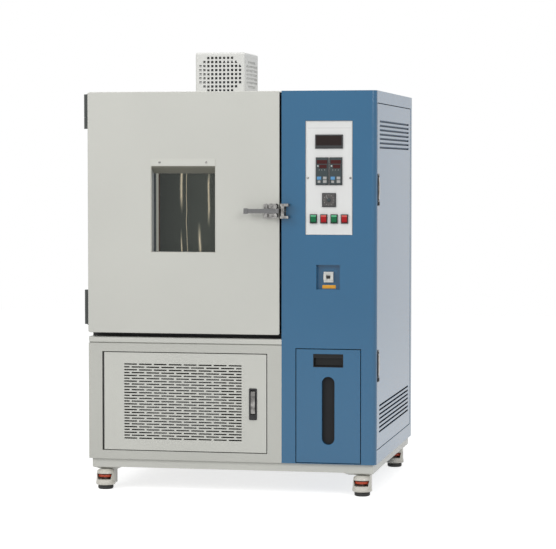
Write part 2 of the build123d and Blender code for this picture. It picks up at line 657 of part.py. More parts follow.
def make_foam():
    """The rigid foam that fills the room between the liner and the outer sheets."""
    wall = LINER_SHEET
    front = CHAMBER_SETBACK + BREAKER_STRIP_THICKNESS
    outer = block((SHEET, CHAMBER_WIDTH - SHEET), (front, CABINET_DEPTH - SHEET), (DECK, ROOF - SHEET))
    liner = block(
        (MOUTH_LEFT - wall, MOUTH_RIGHT + wall),
        (front, LINER_BACK + wall),
        (MOUTH_LOW - wall, MOUTH_HIGH + wall),
    )
    return outer - liner - post(FAN_X, FAN_Y, (DECK, ROOF), FAN_SHAFT_HOLE_RADIUS)


def make_baffle():
    """The sheet between the test space and the air duct, with a row of supply slots near its top."""
    top = MOUTH_HIGH - BAFFLE_HEAD
    outline = rectangle((MOUTH_LEFT, MOUTH_RIGHT), (MOUTH_LOW + BAFFLE_FOOT, top))
    pitch = (MOUTH_RIGHT - MOUTH_LEFT) / (BAFFLE_SLOTS + 1)
    slot = Rectangle(pitch / 3, BAFFLE_HEAD)
    level = top - 1.5 * BAFFLE_HEAD
    slots = [Pos(MOUTH_LEFT + pitch * (number + 1), level) * slot for number in range(BAFFLE_SLOTS)]
    return facing_front(outline - slots, (BAFFLE_FRONT, BAFFLE_FRONT + LINER_SHEET))


def make_air_coils():
    """The cooling coil and, above it, the heater rods, held by two end plates at the back wall. The fin pack
    is one block, and the ends of the coil's tubes stand out of the end plates."""
    plate = SHEET
    inset = COIL_TUBE_RADIUS * 3
    left, right = MOUTH_LEFT + inset, MOUTH_RIGHT - inset
    between = (left + plate, right - plate)
    low = MOUTH_LOW + COIL_LEVEL
    front = FAN_Y - COIL_DEPTH / 2
    back = front + COIL_DEPTH
    heater_level = low + COIL_HEIGHT + 8 * HEATER_ROD_RADIUS
    plate_z = (low, heater_level + 4 * HEATER_ROD_RADIUS)
    pieces = [
        block((left, left + plate), (front, LINER_BACK), plate_z),
        block((right - plate, right), (front, LINER_BACK), plate_z),
        block(between, (front, back), (low, low + COIL_HEIGHT)),
    ]
    tube_pitch = COIL_HEIGHT / COIL_TUBES
    for number in range(COIL_TUBES):
        level = low + tube_pitch * (number + 0.5)
        pieces.append(rod_x((left - COIL_TUBE_STUB, left), FAN_Y, level, COIL_TUBE_RADIUS))
        pieces.append(rod_x((right, right + COIL_TUBE_STUB), FAN_Y, level, COIL_TUBE_RADIUS))
    rod_pitch = COIL_DEPTH / HEATER_RODS
    for number in range(HEATER_RODS):
        pieces.append(rod_x(between, front + rod_pitch * (number + 0.5), heater_level, HEATER_ROD_RADIUS))
    return pieces


def make_shelf():
    """A rod shelf that lies on the rails of the liner."""
    side = MOUTH_LEFT + SHELF_SIDE_GAP + SHELF_FRAME_RADIUS
    right = MOUTH_RIGHT - SHELF_SIDE_GAP - SHELF_FRAME_RADIUS
    front = CHAMBER_SETBACK + SHELF_FRONT + SHELF_FRAME_RADIUS
    back = BAFFLE_FRONT - SHELF_BACK_GAP
    level = MOUTH_LOW + SHELF_RAIL_LEVEL + SHELF_RAIL_HEIGHT + SHELF_FRAME_RADIUS + FLAT_GAP
    shelf = rod_y(side, (front, back), level, SHELF_FRAME_RADIUS)
    shelf += rod_y(right, (front, back), level, SHELF_FRAME_RADIUS)
    shelf += rod_x((side - SHELF_FRAME_RADIUS, right + SHELF_FRAME_RADIUS), front, level, SHELF_FRAME_RADIUS)
    shelf += rod_x((side - SHELF_FRAME_RADIUS, right + SHELF_FRAME_RADIUS), back, level, SHELF_FRAME_RADIUS)
    pitch = (right - side) / (SHELF_RODS + 1)
    for number in range(SHELF_RODS):
        shelf += rod_y(side + pitch * (number + 1), (front, back), level, SHELF_ROD_RADIUS)
    return shelf


def window_place():
    """The x and z values of the door's window opening."""
    right = DOOR_RIGHT - WINDOW_FROM_RIGHT
    top = DOOR_HIGH - WINDOW_FROM_TOP
    return (right - WINDOW_OPENING_WIDTH, right), (top - WINDOW_OPENING_HEIGHT, top)


def door_room():
    """The room inside the folded tray of the door, before the window is cut through it."""
    wall = DOOR_SHEET
    x, z = (wall, DOOR_RIGHT - wall), (DOOR_LOW + wall, DOOR_HIGH - wall)
    return facing_front(rectangle(x, z, DOOR_EDGE_RADIUS - wall), (DOOR_FRONT + wall, DOOR_BACK))


def door_plug(inset):
    """The block on the back of the door that fills the mouth of the chamber, made smaller by an inset."""
    gap = DOOR_PLUG_GAP + inset
    back = CHAMBER_SETBACK + DOOR_PLUG_DEPTH - inset
    x, z = grown((MOUTH_LEFT, MOUTH_RIGHT), -gap), grown((MOUTH_LOW, MOUTH_HIGH), -gap)
    plug = block(x, (DOOR_BACK, back), z)
    return chamfer(plug.faces().sort_by(Axis.Y)[-1].edges(), DOOR_PLUG_GAP)


def window_hole():
    """The hole for the window, right through the door."""
    return facing_front(rectangle(*window_place()), (DOOR_FRONT, CHAMBER_SETBACK + DOOR_PLUG_DEPTH))


def make_door_shell():
    """The folded tray of the door with rounded front edges and its window opening."""
    outline = rectangle((0, DOOR_RIGHT), (DOOR_LOW, DOOR_HIGH), DOOR_EDGE_RADIUS)
    shell = facing_front(outline, (DOOR_FRONT, DOOR_BACK))
    shell = fillet(shell.faces().sort_by(Axis.Y)[0].edges(), DOOR_EDGE_RADIUS / 3)
    return shell - door_room() - window_hole()


def make_door_liner():
    """The stainless pan that closes the back of the door and stands into the mouth of the chamber."""
    wall = DOOR_SHEET
    plate = door_room() & block((0, DOOR_RIGHT), (DOOR_BACK - wall, DOOR_BACK), (DOOR_LOW, DOOR_HIGH))
    plug_room = door_plug(wall)
    pan = plate + door_plug(0) - plug_room
    pan -= plug_room.moved(Location((0, -wall, 0)))
    return pan - window_hole()


def make_door_foam():
    """The rigid foam between the tray and the pan of the door."""
    wall = DOOR_SHEET
    foam = door_room() - block((0, DOOR_RIGHT), (DOOR_BACK - wall, DOOR_BACK), (DOOR_LOW, DOOR_HIGH))
    plug_room = door_plug(wall)
    foam += plug_room + plug_room.moved(Location((0, -wall, 0)))
    return foam - window_hole()


def make_gasket():
    """The rubber seal on the door that presses on the liner's front flange."""
    outer = (LINER_FLANGE + GASKET_WIDTH) / 2
    inner = (LINER_FLANGE - GASKET_WIDTH) / 2
    x, z = (MOUTH_LEFT, MOUTH_RIGHT), (MOUTH_LOW, MOUTH_HIGH)
    ring = rectangle(grown(x, outer), grown(z, outer), outer)
    ring -= rectangle(grown(x, inner), grown(z, inner), inner)
    return facing_front(ring, (DOOR_BACK, CHAMBER_SETBACK - FLAT_GAP))


def glass_depths():
    """The front face of each pane, from the room side to the chamber side."""
    first = DOOR_FRONT + WINDOW_RECESS
    return [first + GLASS_SPACING * number for number in range(GLASS_PANES)]


def make_glazing():
    """The panes of the heated window, one behind the other."""
    x, z = window_place()
    outline = rectangle(grown(x, -WINDOW_FRAME_WALL), grown(z, -WINDOW_FRAME_WALL))
    return [facing_front(outline, (depth, depth + GLASS_THICKNESS)) for depth in glass_depths()]


def make_window_frame():
    """The four sheets of the reveal that hold the panes, the dark head above the panes and the screwed strip
    over the opening."""
    x, z = window_place()
    wall = WINDOW_FRAME_WALL
    reveal_y = (DOOR_FRONT + wall, CHAMBER_SETBACK + DOOR_PLUG_DEPTH)
    pieces = strips(x, z, grown(x, -wall), grown(z, -wall), reveal_y)
    head_back = DOOR_FRONT + WINDOW_RECESS
    head = [
        (DOOR_FRONT + wall, z[1] - wall - wall),
        (DOOR_FRONT + wall, z[1] - wall),
        (head_back, z[1] - wall),
        (head_back, z[1] - wall - WINDOW_HEAD_HEIGHT),
    ]
    pieces.append(facing_side(make_face(Polyline(*head, close=True)), grown(x, -wall)))
    strip_front = DOOR_FRONT - WINDOW_STRIP_THICKNESS
    pieces.append(block(x, (strip_front, DOOR_FRONT), (z[1], z[1] + WINDOW_STRIP_HEIGHT)))
    return pieces


def knuckle_levels(low):
    """The heights of the three knuckles of a hinge that starts at the given level."""
    gap = HINGE_KNUCKLE_GAP
    first = low + HINGE_HEIGHT / 3
    second = low + HINGE_HEIGHT * 2 / 3
    return (low, first - gap), (first, second), (second + gap, low + HINGE_HEIGHT)


def make_knuckle(levels, leaf_y):
    """One knuckle with the web that joins it to a leaf on the side of the cabinet."""
    knuckle = post(HINGE_PIN_X, HINGE_PIN_Y, levels, HINGE_KNUCKLE_RADIUS)
    web_y = (HINGE_PIN_Y, leaf_y) if leaf_y > HINGE_PIN_Y else (leaf_y, HINGE_PIN_Y)
    return knuckle + block((HINGE_PIN_X, -HINGE_LEAF_THICKNESS), web_y, levels)


def make_hinge_brackets():
    """The body halves of both door hinges: outer knuckles, leaf and pin."""
    pieces = []
    leaf_front = HINGE_PIN_Y + HINGE_KNUCKLE_RADIUS
    for low in HINGE_LEVELS:
        bottom, middle, top = knuckle_levels(low)
        leaf_y = (leaf_front, leaf_front + HINGE_LEAF_LENGTH)
        bracket = block((-HINGE_LEAF_THICKNESS, 0), leaf_y, (low, low + HINGE_HEIGHT))
        web_end = leaf_front + HINGE_KNUCKLE_RADIUS
        bracket += make_knuckle(bottom, web_end) + make_knuckle(top, web_end)
        bracket += post(HINGE_PIN_X, HINGE_PIN_Y, (low, low + HINGE_HEIGHT), DOOR_HINGE_PIN_RADIUS)
        pieces.append(bracket)
    return pieces


def make_hinge_leaves():
    """The door halves of both hinges: the middle knuckle and its leaf."""
    pieces = []
    leaf_back = HINGE_PIN_Y - HINGE_KNUCKLE_RADIUS
    for low in HINGE_LEVELS:
        middle = knuckle_levels(low)[1]
        z = (low, low + HINGE_HEIGHT)
        leaf = block((-HINGE_LEAF_THICKNESS, 0), (DOOR_FRONT + DOOR_EDGE_RADIUS, leaf_back), z)
        leaf += make_knuckle(middle, leaf_back - HINGE_KNUCKLE_RADIUS / 2)
        pieces.append(leaf - post(HINGE_PIN_X, HINGE_PIN_Y, z, DOOR_HINGE_PIN_RADIUS + BEARING_CLEARANCE))
    return pieces


def make_latch_base():
    """The casting on the door: a plate and two ears that hold the pivot pin of the lever."""
    right = DOOR_RIGHT - LATCH_BASE_FROM_EDGE
    left = right - LATCH_BASE_WIDTH
    low = LATCH_LEVEL - LATCH_BASE_HEIGHT / 2
    high = LATCH_LEVEL + LATCH_BASE_HEIGHT / 2
    outline = rectangle((left, right), (low, high), LATCH_BASE_THICKNESS / 2)
    base = facing_front(outline, (DOOR_FRONT - LATCH_BASE_THICKNESS, DOOR_FRONT))
    ear_front = LATCH_PIVOT_Y - LATCH_PIVOT_RADIUS * 2
    ear = [
        (left + LATCH_EAR_THICKNESS, DOOR_FRONT - LATCH_BASE_THICKNESS),
        (left + 2 * LATCH_EAR_THICKNESS, ear_front),
        (right, ear_front),
        (right, DOOR_FRONT - LATCH_BASE_THICKNESS),
    ]
    profile = make_face(Polyline(*ear, close=True))
    for level in (low + LATCH_BASE_THICKNESS / 2, high - LATCH_BASE_THICKNESS / 2 - LATCH_EAR_THICKNESS):
        base += Pos(0, 0, level) * extrude(profile, LATCH_EAR_THICKNESS)
    room = LEVER_HEIGHT / 2 + LATCH_HEAD_GAP
    room_z = (LATCH_LEVEL - room, LATCH_LEVEL + room)
    base -= post(LATCH_PIVOT_X, LATCH_PIVOT_Y, room_z, LATCH_HEAD_RADIUS + LATCH_HEAD_GAP)
    return base + post(LATCH_PIVOT_X, LATCH_PIVOT_Y, (low + LATCH_BASE_THICKNESS, high), LATCH_PIVOT_RADIUS)


def make_latch_lever():
    """The lever: a round head that seats on the keeper's roller, a flat bar and a grip at its free end."""
    half = LEVER_HEIGHT / 2
    level = (LATCH_LEVEL - half, LATCH_LEVEL + half)
    head = post(LATCH_PIVOT_X, LATCH_PIVOT_Y, level, LATCH_HEAD_RADIUS)
    bar_front = LATCH_PIVOT_Y - LATCH_HEAD_RADIUS
    bar_y = (bar_front, bar_front + LEVER_THICKNESS)
    lever = head + block((LATCH_PIVOT_X - LEVER_LENGTH, LATCH_PIVOT_X), bar_y, level)
    extra = (GRIP_THICKNESS - LEVER_THICKNESS) / 2
    grip = block(
        (LATCH_PIVOT_X - LEVER_LENGTH, LATCH_PIVOT_X - LEVER_LENGTH + GRIP_LENGTH),
        (bar_y[0] - extra, bar_y[1] + extra),
        (LATCH_LEVEL - GRIP_HEIGHT / 2, LATCH_LEVEL + GRIP_HEIGHT / 2),
    )
    lever += fillet(grip.edges(), extra)
    return lever - post(LATCH_PIVOT_X, LATCH_PIVOT_Y, level, LATCH_PIVOT_RADIUS + BEARING_CLEARANCE)


def make_latch_keeper():
    """The bracket on the tower with the roller that the head of the lever seats on."""
    roller_x = LATCH_PIVOT_X + LATCH_HEAD_RADIUS + FLAT_GAP + KEEPER_ROLLER_RADIUS
    left = roller_x - KEEPER_ROLLER_RADIUS
    right = left + KEEPER_WIDTH
    low = LATCH_LEVEL - LATCH_BASE_HEIGHT / 2
    high = LATCH_LEVEL + LATCH_BASE_HEIGHT / 2
    keeper = block((left, left + KEEPER_SPINE_WIDTH), (-KEEPER_PLATE_THICKNESS, 0), (low, high))
    ear = rectangle((left, right), (-KEEPER_REACH, 0))
    for level in (low, high - KEEPER_EAR_THICKNESS):
        keeper += Pos(0, 0, level) * extrude(ear, KEEPER_EAR_THICKNESS)
    front_corners = keeper.edges().filter_by(Axis.Z).group_by(Axis.Y)[0]
    keeper = fillet(front_corners, KEEPER_PLATE_THICKNESS)
    roller_z = grown((low, high), -KEEPER_EAR_THICKNESS)
    return [keeper, post(roller_x, LATCH_PIVOT_Y, roller_z, KEEPER_ROLLER_RADIUS)]


def vent_slots():
    """The brick pattern of slots in the vent door, as one sketch in x and z."""
    left = VENT_LEFT + VENT_FIELD_LEFT
    low = VENT_LOW + VENT_FIELD_BOTTOM
    room = VENT_RIGHT - VENT_FIELD_RIGHT - left
    count = round((room - VENT_SLOT_LENGTH) / VENT_SLOT_PITCH) + 1
    rows = round((VENT_HIGH - VENT_FIELD_TOP - low - VENT_SLOT_HEIGHT) / VENT_ROW_PITCH) + 1
    right = left + (count - 1) * VENT_SLOT_PITCH + VENT_SLOT_LENGTH
    slots = []
    for row in range(rows):
        z = (low + row * VENT_ROW_PITCH, low + row * VENT_ROW_PITCH + VENT_SLOT_HEIGHT)
        first = left - VENT_SLOT_PITCH / 2 if row % 2 else left
        for number in range(count + row % 2):
            start = first + number * VENT_SLOT_PITCH
            slots.append(rectangle((max(left, start), min(right, start + VENT_SLOT_LENGTH)), z))
    return slots


def make_vent_door():
    """The slotted tray that closes the machine room, rolled round its hinge pin at the left edge."""
    radius = VENT_DOOR_THICKNESS / 2
    face = facing_front(rectangle((VENT_PIVOT_X, VENT_RIGHT), (VENT_LOW, VENT_HIGH)), (0, SHEET))
    face -= facing_front(Sketch() + vent_slots(), (0, SHEET))
    side = VENT_DOOR_THICKNESS - SHEET
    rim = rectangle((VENT_PIVOT_X, VENT_RIGHT), (VENT_LOW, VENT_HIGH))
    rim -= rectangle((VENT_PIVOT_X, VENT_RIGHT - side), (VENT_LOW + side, VENT_HIGH - side))
    door = face + facing_front(rim, (SHEET, VENT_DOOR_THICKNESS))
    door += post(VENT_PIVOT_X, VENT_PIVOT_Y, (VENT_LOW, VENT_HIGH), radius)
    reach = (VENT_LOW - PANEL_GAP - HINGE_PIN_REACH, VENT_HIGH + PANEL_GAP + HINGE_PIN_REACH)
    door += post(VENT_PIVOT_X, VENT_PIVOT_Y, reach, HINGE_PIN_RADIUS)
    x, z = vent_latch_place()
    return door - facing_front(rectangle(x, z), (0, SHEET))


def vent_latch_place():
    """The x and z values of the pocket of the vent door's latch."""
    middle = VENT_RIGHT - VENT_LATCH_FROM_RIGHT
    low = VENT_LOW + VENT_LATCH_HEIGHT - LATCH_POCKET_HEIGHT / 2 + LATCH_POCKET_RISE
    half = LATCH_POCKET_WIDTH / 2 + LATCH_WALL
    return (middle - half, middle + half), (low - LATCH_WALL, low + LATCH_POCKET_HEIGHT + LATCH_WALL)


def make_latch_cup():
    """A flush latch: face plate, sunk pocket, lock barrel and the pin of the blade. It lies at the origin,
    facing -Y, with its face plate on the plane y = 0 and centred on x = 0 and z = 0."""
    half_width = LATCH_PLATE_WIDTH / 2
    half_height = LATCH_PLATE_HEIGHT / 2
    pocket_low = LATCH_POCKET_RISE - LATCH_POCKET_HEIGHT / 2
    pocket_high = LATCH_POCKET_RISE + LATCH_POCKET_HEIGHT / 2
    pocket_half = LATCH_POCKET_WIDTH / 2
    wall = LATCH_WALL
    outline = rectangle((-half_width, half_width), (-half_height, half_height), LATCH_WALL * 2)
    cup = facing_front(outline, (-LATCH_PLATE_PROUD, 0))
    x, z = (-pocket_half, pocket_half), (pocket_low, pocket_high)
    cup += block(grown(x, wall), (0, LATCH_POCKET_DEPTH + wall), grown(z, wall))
    cup -= block(x, (-LATCH_PLATE_PROUD, LATCH_POCKET_DEPTH), z)
    lock_level = (pocket_low - wall - half_height) / 2
    lock_y = (-LATCH_PLATE_PROUD - LATCH_LOCK_HEIGHT, -LATCH_PLATE_PROUD)
    cup += rod_y(0, lock_y, lock_level, LATCH_LOCK_RADIUS)
    pin_y, pin_z = latch_pin()
    cup += rod_x((-pocket_half, pocket_half), pin_y, pin_z, LATCH_PIVOT_RADIUS / 2)
    return cup


def latch_pin():
    """The y and z values of the pin of a flush latch's blade, in the frame of its cup."""
    pocket_high = LATCH_POCKET_RISE + LATCH_POCKET_HEIGHT / 2
    return LATCH_BLADE_THICKNESS / 2, pocket_high - LATCH_BLADE_END_GAP - LATCH_BLADE_THICKNESS / 2


def make_latch_blade():
    """The bowed blade of a flush latch, hung on the pin at its top end and proud of the face plate."""
    half = LATCH_BLADE_WIDTH / 2
    pin_y, pin_z = latch_pin()
    low = LATCH_POCKET_RISE - LATCH_POCKET_HEIGHT / 2 + LATCH_BLADE_END_GAP
    front = -LATCH_PLATE_PROUD - LATCH_BLADE_PROUD
    back = front + LATCH_BLADE_THICKNESS
    edge = front + LATCH_BLADE_BOW
    bow = ThreePointArc((edge, low), (front, (low + pin_z) / 2), (edge, pin_z))
    outline = bow + Polyline((edge, pin_z), (back, pin_z), (back, low), (edge, low))
    blade = facing_side(make_face(outline), (-half, half))
    neck = block((-half, half), (edge, pin_y), (pin_z - LATCH_BLADE_THICKNESS / 2, pin_z))
    knuckle = rod_x((-half, half), pin_y, pin_z, LATCH_BLADE_THICKNESS / 2)
    bore = rod_x((-half, half), pin_y, pin_z, LATCH_PIVOT_RADIUS / 2 + BEARING_CLEARANCE)
    return blade + neck + knuckle - bore


def at_vent_latch(shape):
    """Moves a flush latch piece from the origin to the vent door."""
    return Pos(VENT_RIGHT - VENT_LATCH_FROM_RIGHT, 0, VENT_LOW + VENT_LATCH_HEIGHT) * shape


def at_side_latch(shape, level):
    """Turns a flush latch piece to face +X and moves it to the side door at the given height."""
    return Pos(CABINET_WIDTH, SIDE_LATCH_Y, SIDE_DOOR_LOW + level) * Rot(0, 0, 90) * shape


def tower_openings():
    """The x and z values of the cut-outs in the front sheet of the tower: drawer, breaker pocket and plate."""
    drawer_x = grown((DRAWER_LEFT, DRAWER_LEFT + DRAWER_WIDTH), PANEL_GAP)
    return [
        (drawer_x, grown((DRAWER_LOW, DRAWER_HIGH), PANEL_GAP)),
        ((POCKET_LEFT, POCKET_LEFT + POCKET_WIDTH), (POCKET_TOP - POCKET_HEIGHT, POCKET_TOP)),
        ((PLATE_LEFT, PLATE_LEFT + PLATE_WIDTH), (PLATE_TOP - PLATE_HEIGHT, PLATE_TOP)),
    ]


def make_tower_front():
    """The front sheet of the tower, bent round the right-hand corner, with its cut-outs."""
    radius = TOWER_CORNER_RADIUS
    right = CABINET_WIDTH
    inner = radius - SHEET
    outline = Line((CHAMBER_WIDTH, 0), (right - radius, 0))
    outline += RadiusArc((right - radius, 0), (right, radius), -radius)
    outline += Line((right, radius), (right - SHEET, radius))
    outline += RadiusArc((right - SHEET, radius), (right - radius, SHEET), inner)
    outline += Polyline((right - radius, SHEET), (CHAMBER_WIDTH, SHEET), (CHAMBER_WIDTH, 0))
    sheet = Pos(0, 0, CABINET_BOTTOM) * extrude(make_face(outline), ROOF - CABINET_BOTTOM)
    levels = [CABINET_BOTTOM]
    for x, z in tower_openings():
        sheet -= facing_front(rectangle(x, z), (0, SHEET))
        levels += z
    return in_bands(sheet, levels + [ROOF])


def make_pocket():
    """The sunk box round the breaker: four walls and a back with the breaker's cut-out."""
    x = (POCKET_LEFT, POCKET_LEFT + POCKET_WIDTH)
    z = (POCKET_TOP - POCKET_HEIGHT, POCKET_TOP)
    walls = strips(grown(x, SHEET), grown(z, SHEET), x, z, (SHEET, POCKET_DEPTH))
    return walls + strips(x, z, *breaker_place(), (POCKET_DEPTH, POCKET_DEPTH + SHEET))


def breaker_place():
    """The x and z values of the breaker's front."""
    middle_x = POCKET_LEFT + POCKET_WIDTH / 2
    middle_z = POCKET_TOP - POCKET_HEIGHT / 2
    return (middle_x - BREAKER_WIDTH / 2, middle_x + BREAKER_WIDTH / 2), (
        middle_z - BREAKER_HEIGHT / 2,
        middle_z + BREAKER_HEIGHT / 2,
    )


def make_tower_casing():
    """The painted sheets of the control tower, the breaker pocket and the runners of the drawer."""
    right = CABINET_WIDTH
    x = (CHAMBER_WIDTH + SHEET, right - SHEET)
    y = (TOWER_CORNER_RADIUS, CABINET_DEPTH - SHEET)
    z = (CABINET_BOTTOM + SHEET, ROOF - SHEET)
    rail = (right - TOWER_RAIL_DEPTH, right)
    head = block(rail, y, (ROOF - TOWER_HEAD, ROOF - SHEET))
    foot = block(rail, y, (CABINET_BOTTOM + SHEET, CABINET_BOTTOM + TOWER_FOOT))
    pin = post(
        SIDE_PIVOT_X,
        SIDE_PIVOT_Y,
        (SIDE_DOOR_LOW - PANEL_GAP - HINGE_PIN_REACH, SIDE_DOOR_HIGH + PANEL_GAP + HINGE_PIN_REACH),
        HINGE_PIN_RADIUS + BEARING_CLEARANCE,
    )
    stile_front = SIDE_DOOR_BACK + BEARING_CLEARANCE + 1
    plan = ((CHAMBER_WIDTH, right), (SHEET, CABINET_DEPTH))
    pieces = make_tower_front() + [
        block(*plan, (ROOF - SHEET, ROOF)) - tower_corner_cut(),
        block(*plan, (CABINET_BOTTOM, CABINET_BOTTOM + SHEET)) - tower_corner_cut(),
        block((CHAMBER_WIDTH, CHAMBER_WIDTH + SHEET), (SHEET, y[1]), z),
        block((CHAMBER_WIDTH, right), (y[1], CABINET_DEPTH), z),
        head - pin,
        foot - pin,
        block(rail, (stile_front, y[1]), (CABINET_BOTTOM + TOWER_FOOT, ROOF - TOWER_HEAD)),
    ]
    return pieces + make_pocket() + make_runners()


def tower_corner_cut():
    """What has to go from the roof and floor sheets at the rounded front corner of the tower."""
    inner = TOWER_CORNER_RADIUS - SHEET
    corner = CABINET_WIDTH - TOWER_CORNER_RADIUS
    cut = block((corner, CABINET_WIDTH), (0, TOWER_CORNER_RADIUS), (0, ROOF))
    return cut - post(corner, TOWER_CORNER_RADIUS, (0, ROOF), inner)


def make_runners():
    """Two rails beside the drawer's tray, on the floor of the tower."""
    outer_left = DRAWER_LEFT + DRAWER_TRAY_GAP - RUNNER_CLEARANCE - RUNNER_THICKNESS
    outer_right = DRAWER_LEFT + DRAWER_WIDTH - DRAWER_TRAY_GAP + RUNNER_CLEARANCE
    y = (DRAWER_THICKNESS + PANEL_GAP, DRAWER_THICKNESS + DRAWER_TRAY_DEPTH)
    z = (CABINET_BOTTOM + SHEET, CABINET_BOTTOM + SHEET + RUNNER_HEIGHT)
    return [block((left, left + RUNNER_THICKNESS), y, z) for left in (outer_left, outer_right)]


def louvre_levels():
    """The lower edge of every slot in the side door, in a bank near its foot and one near its head."""
    foot = SIDE_DOOR_LOW + LOUVRE_BOTTOM_MARGIN
    head = SIDE_DOOR_HIGH - LOUVRE_TOP_MARGIN - LOUVRE_HEIGHT - (LOUVRE_COUNT - 1) * LOUVRE_PITCH
    return [start + number * LOUVRE_PITCH for start in (foot, head) for number in range(LOUVRE_COUNT)]


def louvre_blade(level, y):
    """The blade behind a slot of the side door, which slopes inwards and down from the slot's upper edge."""
    back = CABINET_WIDTH - SHEET
    top = level + LOUVRE_HEIGHT
    profile = [
        (back, top),
        (back, top + LOUVRE_BLADE_SHEET),
        (back - LOUVRE_BLADE_DEPTH, top + LOUVRE_BLADE_SHEET - LOUVRE_BLADE_DROP),
        (back - LOUVRE_BLADE_DEPTH, top - LOUVRE_BLADE_DROP),
    ]
    return facing_front(make_face(Polyline(*profile, close=True)), y)


def side_latch_holes():
    """The z values of the two latch pockets in the side door."""
    middles = [SIDE_DOOR_LOW + level + LATCH_POCKET_RISE for level in (SIDE_LATCH_LOWER, SIDE_LATCH_UPPER)]
    half = LATCH_POCKET_HEIGHT / 2 + LATCH_WALL
    return [(middle - half, middle + half) for middle in middles]


def make_side_door():
    """The door in the side of the tower: a slotted face rolled round the hinge pin at its rear edge, and
    channels behind its other three edges."""
    right = CABINET_WIDTH
    y = (SIDE_DOOR_FRONT + PANEL_GAP, SIDE_PIVOT_Y)
    z = (SIDE_DOOR_LOW, SIDE_DOOR_HIGH)
    slot_y = grown((SIDE_DOOR_FRONT, SIDE_DOOR_BACK), -LOUVRE_END_MARGIN)
    outline = rectangle(y, z) - [rectangle(slot_y, (low, low + LOUVRE_HEIGHT)) for low in louvre_levels()]
    roll = post(SIDE_PIVOT_X, SIDE_PIVOT_Y, z, SIDE_DOOR_THICKNESS / 2)
    face = facing_side(outline, (right - SHEET, right)) + roll
    face += post(SIDE_PIVOT_X, SIDE_PIVOT_Y, grown(z, PANEL_GAP + HINGE_PIN_REACH), HINGE_PIN_RADIUS)
    for level in louvre_levels():
        face += louvre_blade(level, slot_y)
    depth = (right - SIDE_DOOR_THICKNESS, right - SHEET)
    side = SIDE_DOOR_THICKNESS - SHEET
    front = block(depth, (y[0], y[0] + side), z)
    foot = block(depth, (y[0] + side, y[1]), (z[0], z[0] + side)) - roll
    head = block(depth, (y[0] + side, y[1]), (z[1] - side, z[1])) - roll
    half = LATCH_POCKET_WIDTH / 2 + LATCH_WALL
    levels = [CABINET_BOTTOM]
    for hole_z in side_latch_holes():
        hole = block((right - SIDE_DOOR_THICKNESS, right), (SIDE_LATCH_Y - half, SIDE_LATCH_Y + half), hole_z)
        face -= hole
        front -= hole
        levels += hole_z
    levels.append(ROOF)
    return in_bands(face, levels) + in_bands(front, levels) + [foot, head]


def instrument(width, height, middle_x, top):
    """A panel instrument: a bezel on the control plate and a smaller body through its cut-out."""
    x = (middle_x - width / 2, middle_x + width / 2)
    z = (top - height, top)
    margin = INSTRUMENT_BODY_MARGIN
    bezel = block(x, (PLATE_SINK - INSTRUMENT_PROUD, PLATE_SINK), z)
    bezel = chamfer(bezel.faces().sort_by(Axis.Y)[0].edges(), margin)
    return [bezel, block(grown(x, -margin), (PLATE_SINK, INSTRUMENT_DEPTH), grown(z, -margin))]


def instrument_cutout(width, height, middle_x, top):
    """The hole in the control plate for an instrument's body."""
    x = (middle_x - width / 2, middle_x + width / 2)
    return rectangle(grown(x, -INSTRUMENT_BODY_MARGIN), grown((top - height, top), -INSTRUMENT_BODY_MARGIN))


def instrument_places():
    """Width, height, middle and top of each instrument on the control plate."""
    meter = (METER_WIDTH, METER_HEIGHT, PLATE_CENTRE, PLATE_TOP - METER_FROM_TOP)
    middles = (PLATE_CENTRE - CONTROLLER_PITCH / 2, PLATE_CENTRE + CONTROLLER_PITCH / 2)
    top = PLATE_TOP - CONTROLLER_FROM_TOP
    controllers = [(CONTROLLER_WIDTH, CONTROLLER_HEIGHT, middle, top) for middle in middles]
    timer = (TIMER_SIZE, TIMER_SIZE, PLATE_CENTRE, PLATE_TOP - TIMER_FROM_TOP)
    return meter, controllers, timer


def button_places():
    """The middle of each button on the control plate."""
    first = PLATE_CENTRE - BUTTON_PITCH * (BUTTON_COUNT - 1) / 2
    return [first + BUTTON_PITCH * number for number in range(BUTTON_COUNT)]


def button_outline(middle_x, margin):
    """The outline of a button, made smaller by a margin all round."""
    top = PLATE_TOP - BUTTON_FROM_TOP
    x = (middle_x - BUTTON_WIDTH / 2, middle_x + BUTTON_WIDTH / 2)
    return rectangle(grown(x, -margin), grown((top - BUTTON_HEIGHT, top), -margin))


def at_depth(sketch, y):
    """Places a sketch drawn in x and z on the upright plane at the given y value."""
    return Plane(origin=(0, y, 0), x_dir=(1, 0, 0), z_dir=(0, -1, 0)) * sketch


def make_control_plate():
    """The white pan set into the front of the tower. Its flange lies behind the sheet, and its border slopes
    back to the sunk field that carries the instruments and buttons."""
    x = (PLATE_LEFT, PLATE_LEFT + PLATE_WIDTH)
    z = (PLATE_TOP - PLATE_HEIGHT, PLATE_TOP)
    back = PLATE_SINK + PLATE_THICKNESS
    flange = rectangle(grown(x, PLATE_FLANGE), grown(z, PLATE_FLANGE))
    pan = facing_front(rectangle(grown(x, -FLAT_GAP), grown(z, -FLAT_GAP)), (0, back))
    pan += facing_front(flange, (SHEET, back))
    mouth = at_depth(rectangle(grown(x, -PLATE_EDGE), grown(z, -PLATE_EDGE)), 0)
    field = at_depth(rectangle(grown(x, -PLATE_BORDER), grown(z, -PLATE_BORDER)), PLATE_SINK)
    pan -= loft([mouth, field])
    meter, controllers, timer = instrument_places()
    cutouts = [instrument_cutout(*place) for place in [meter, timer] + controllers]
    cutouts += [button_outline(middle, BUTTON_BEZEL_WALL / 2) for middle in button_places()]
    return pan - facing_front(Sketch() + cutouts, (0, back))


